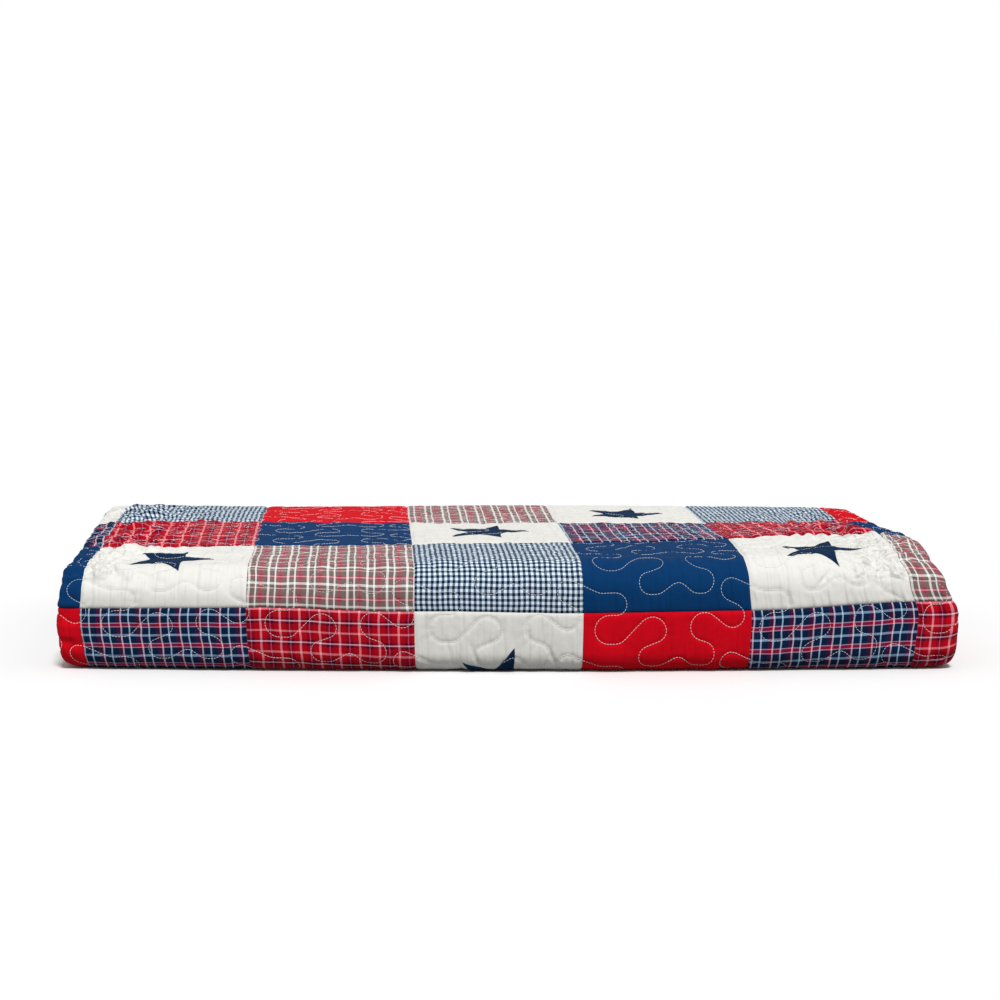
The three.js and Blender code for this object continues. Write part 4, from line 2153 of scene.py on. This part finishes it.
@dataclass
class Binding:
    """The narrow cloth that wraps the quilt's four edges."""

    surface: QuiltSurface
    cotton: float = 0.0005
    corners: int = 11
    nose: float = 0.9
    shoulder: float = 0.6
    hem_press: float = 0.97
    step: float = 0.012
    side_round_step: float = 0.002
    end_round_step: float = 0.0015

    def _side(self, half: float) -> tuple[Array, Array]:
        """One face of the tape's section, from its hem over the edge to its other hem.

        Args:
            half: Half the height of the wrapped edge.

        Returns:
            How far in from the edge each point lies, and how high.
        """
        width = self.surface.patchwork.bound_edge
        angle = np.linspace(-pi / 2, pi / 2, self.corners)
        out = self.surface.cloth.thickness / 2 - half
        nose_in = out + half * self.nose * (1 - np.cos(angle))
        nose_up = -half * np.sin(angle)
        shoulder = width * self.shoulder
        hem = half * self.hem_press
        inward = np.concatenate(([width, shoulder], nose_in, [shoulder, width]))
        up = np.concatenate(([hem, half], nose_up, [-half, -hem]))
        return inward, up

    def _section(self) -> tuple[Array, Array]:
        """Draws the tape's whole section: its outer face, then its inner face back again.

        Returns:
            How far in from the edge each point lies, and how high.
        """
        half = self.surface.cloth.thickness / 2
        outer_in, outer_up = self._side(half)
        inner_in, inner_up = self._side(half - self.cotton)
        inward = np.concatenate((outer_in, inner_in[::-1]))
        return inward, np.concatenate((outer_up, inner_up[::-1]))

    def _tape(
        self,
        name: str,
        spots: Callable[[Array, Array], tuple[Array, Array]],
        marks: Array,
        flip: bool,
        closed: bool,
        material: Material,
    ) -> Object:
        """Sweeps the section along one edge.

        Args:
            name: The piece's name.
            spots: Turns distances in from the edge and along it into places on the quilt.
            marks: The distances along the edge.
            flip: Whether the faces have to be turned round.
            closed: Whether its ends are tucked in, so that they hide the quilt's corners.
            material: The tape's cotton.

        Returns:
            The piece.
        """
        inward, up = self._section()
        count = len(inward)
        u, v = spots(inward[None, :], marks[:, None])
        heights = np.tile(up, (len(marks), 1))
        if closed:
            heights[[0, -1], count // 2 :] = 0.0
        points = self.surface.place(u, v, heights)
        number = np.arange(len(marks) * count).reshape(len(marks), count)
        after = np.roll(number, -1, axis=1)
        quads = np.stack((number[:-1], after[:-1], after[1:], number[1:]), axis=-1).reshape(-1, 4)
        caps = np.stack((number[0][::-1], number[-1]))
        if flip:
            quads = quads[:, ::-1]
            caps = caps[:, ::-1]
        piece = mesh_piece(name, points.reshape(-1, 3), [quads, caps], [material])
        girth = np.concatenate(([0.0], np.cumsum(np.hypot(np.diff(inward), np.diff(up)))))
        flat = np.stack(
            np.broadcast_arrays(girth[None, :], marks[:, None]), axis=-1
        ).reshape(-1, 2)
        corners = np.concatenate((quads.ravel(), caps.ravel()))
        set_map(piece, WEAVE_MAP, flat[corners])
        return piece

    def build(self, material: Material) -> list[tuple[Object, float]]:
        """Builds the tape on the four edges.

        Args:
            material: The tape's cotton.

        Returns:
            The pieces and their lengths.
        """
        cloth = self.surface.cloth
        wide = cloth.across.length
        long = cloth.along.length
        edge = self.surface.patchwork.bound_edge
        side_marks = cloth.along.marks(0, long, self.step, self.side_round_step)
        side_marks = np.insert(side_marks, 1, self.cotton)
        side_marks = np.insert(side_marks, -1, long - self.cotton)
        end_marks = cloth.across.marks(edge, wide - edge, self.step, self.end_round_step)
        tapes = [
            ("binding_inner_side", lambda i, m: (i, m), side_marks, False, True),
            ("binding_left_side", lambda i, m: (wide - i, m), side_marks, True, True),
            ("binding_lower_end", lambda i, m: (m, i), end_marks, True, False),
            ("binding_middle_end", lambda i, m: (m, long - i), end_marks, False, False),
        ]
        made = []
        for name, spots, marks, flip, closed in tapes:
            piece = self._tape(name, spots, marks, flip, closed, material)
            made.append((piece, float(marks[-1] - marks[0])))
        return made


# The studio


@dataclass
class Studio:
    """The floor, one broad soft light that is even over the whole floor, and the camera.

    The light's height above the floor, its side to the right of the front and its spread are in
    degrees.
    """

    camera_side: float = 0.002
    camera_height: float = 0.330
    camera_reach: float = 1.704
    camera_pitch: float = 6.5
    lens: float = 80.2
    sensor: float = 36.0
    floor_side: float = 400.0
    ambient: float = 0.38
    floor_bounce: float = 0.30
    floor_tone: float = 0.97
    light_height: float = 57.0
    light_side: float = 12.0
    light_spread: float = 14.0
    light_strength: float = 2.5

    def build(self, front: float) -> None:
        """Builds the studio.

        Args:
            front: The Y of the stack's front.
        """
        self._floor()
        self._light()
        world = bpy.data.worlds.new("studio")
        bpy.context.scene.world = world
        world.use_nodes = True
        wire = Wiring(world.node_tree)
        seen = wire.node("LightPath").outputs["Is Camera Ray"]
        glow = wire.math("MULTIPLY_ADD", seen, 1 - self.ambient, self.ambient)
        wire.feed(world.node_tree.nodes["Background"], {0: (1.0, 1.0, 1.0, 1.0), 1: glow})
        bpy.context.scene.view_settings.view_transform = "Standard"
        data = bpy.data.cameras.new("camera")
        data.lens = self.lens
        data.sensor_width = self.sensor
        camera = bpy.data.objects.new("camera", data)
        bpy.context.collection.objects.link(camera)
        camera.location = (self.camera_side, front - self.camera_reach, self.camera_height)
        camera.rotation_euler = (radians(90 - self.camera_pitch), 0.0, 0.0)
        bpy.context.scene.camera = camera

    def _light(self) -> None:
        """Adds the light."""
        data = bpy.data.lights.new("front_light", "SUN")
        data.energy = self.light_strength
        data.angle = radians(self.light_spread)
        light = bpy.data.objects.new("front_light", data)
        bpy.context.collection.objects.link(light)
        tilt = radians(90 - self.light_height)
        light.rotation_euler = (tilt, 0.0, radians(self.light_side))

    def _floor(self) -> None:
        """Adds the pale floor, which throws back less light than the camera sees on it."""
        bpy.ops.object.select_all(action="DESELECT")
        bpy.ops.mesh.primitive_plane_add(size=self.floor_side, location=(0.0, 0.0, 0.0))
        ground = bpy.context.active_object
        ground.name = "floor"
        material, wire, shader = new_material("pale_floor")
        seen = wire.node("LightPath").outputs["Is Camera Ray"]
        bounce, pale = ((tone, tone, tone, 1.0) for tone in (self.floor_bounce, self.floor_tone))
        dress = {"Base Color": wire.mix(seen, bounce, pale), "Roughness": 1.0}
        wire.feed(shader, dress | {"Specular IOR Level": 0.0})
        ground.data.materials.append(material)
        ground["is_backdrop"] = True


# The whole quilt


# How far the front's thread reaches past its foot and past its seam, how far before the end of
# the top the back's starts, and a star stitch's length and thickness.
FOOT_THREAD = 0.02
FRONT_THREAD = 0.06
BACK_THREAD = 0.12
STAR_STITCH = (0.0017, 0.0004)


def settle_piece(piece: Object) -> None:
    """Puts a finished piece on the part's body, hides the part's imported mesh, and reports it.

    Args:
        piece: The piece.
    """
    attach(piece, BODY)
    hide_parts(CAD_NODE)
    corners = len(piece.data.loops) - 2 * len(piece.data.polygons)
    LOG.info("%s: %d triangles", piece.name, corners)


def build_rows(surface: QuiltSurface, materials: dict[Fabric, Material]) -> None:
    """Builds the rows of patches from one end of the quilt to the other.

    Args:
        surface: The quilt's relief.
        materials: A material for each cloth.
    """
    edge = surface.patchwork.bound_inset
    end = surface.cloth.along.length - edge
    sliver = surface.patchwork.side / 5
    row = floor((edge + sliver - surface.row_seam(0)) / surface.patchwork.side)
    begin = edge
    while begin < end:
        until = surface.row_seam(row + 1)
        if end - until < sliver:
            until = end
        piece = QuiltRow(surface, row, begin, until).build(materials)
        settle_piece(piece)
        begin = until
        row += 1


def sew(surface: QuiltSurface, stars: StarAppliques) -> None:
    """Sews the quilting and the edges of the stars.

    Args:
        surface: The quilt's relief.
        stars: Its stars.
    """
    white = ThreadFinish("white_quilting_thread", (255, 255, 255)).material()
    navy = ThreadFinish("navy_star_thread", (16, 48, 82)).material()
    stitching = Stitching(surface)
    front_end = surface.seam_v + FRONT_THREAD
    top_end = surface.top_end - BACK_THREAD
    cuts = (surface.front_start - FOOT_THREAD, front_end, top_end, surface.back_end)
    for part, begin, end in zip(("front", "top", "back"), cuts[:-1], cuts[1:]):
        name = f"quilting_stitches_{part}"
        settle_piece(stitching.quilting(name, begin, end, stars, white))
    edges = Stitching(surface, *STAR_STITCH)
    settle_piece(edges.sew("star_edge_stitches", stars.stitch_line(), stars, navy))


def main() -> None:
    logging.basicConfig(level=logging.INFO, format="%(name)s: %(message)s")
    cad_low, cad_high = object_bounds()
    Studio().build(cad_low[1])
    surface = QuiltSurface(FoldedCloth(), Patchwork(), Meander())
    weave = WovenCotton().group()
    build_rows(surface, {fabric: finish.material(weave) for fabric, finish in FINISHES.items()})

    stars = StarAppliques(surface)
    star_piece = stars.build(STAR_FINISH.material(weave))
    settle_piece(star_piece)
    sew(surface, stars)

    binding = Binding(surface)
    for piece, length in binding.build(BINDING_FINISH.material(weave)):
        settle_piece(piece)


if __name__ == "__main__":
    main()
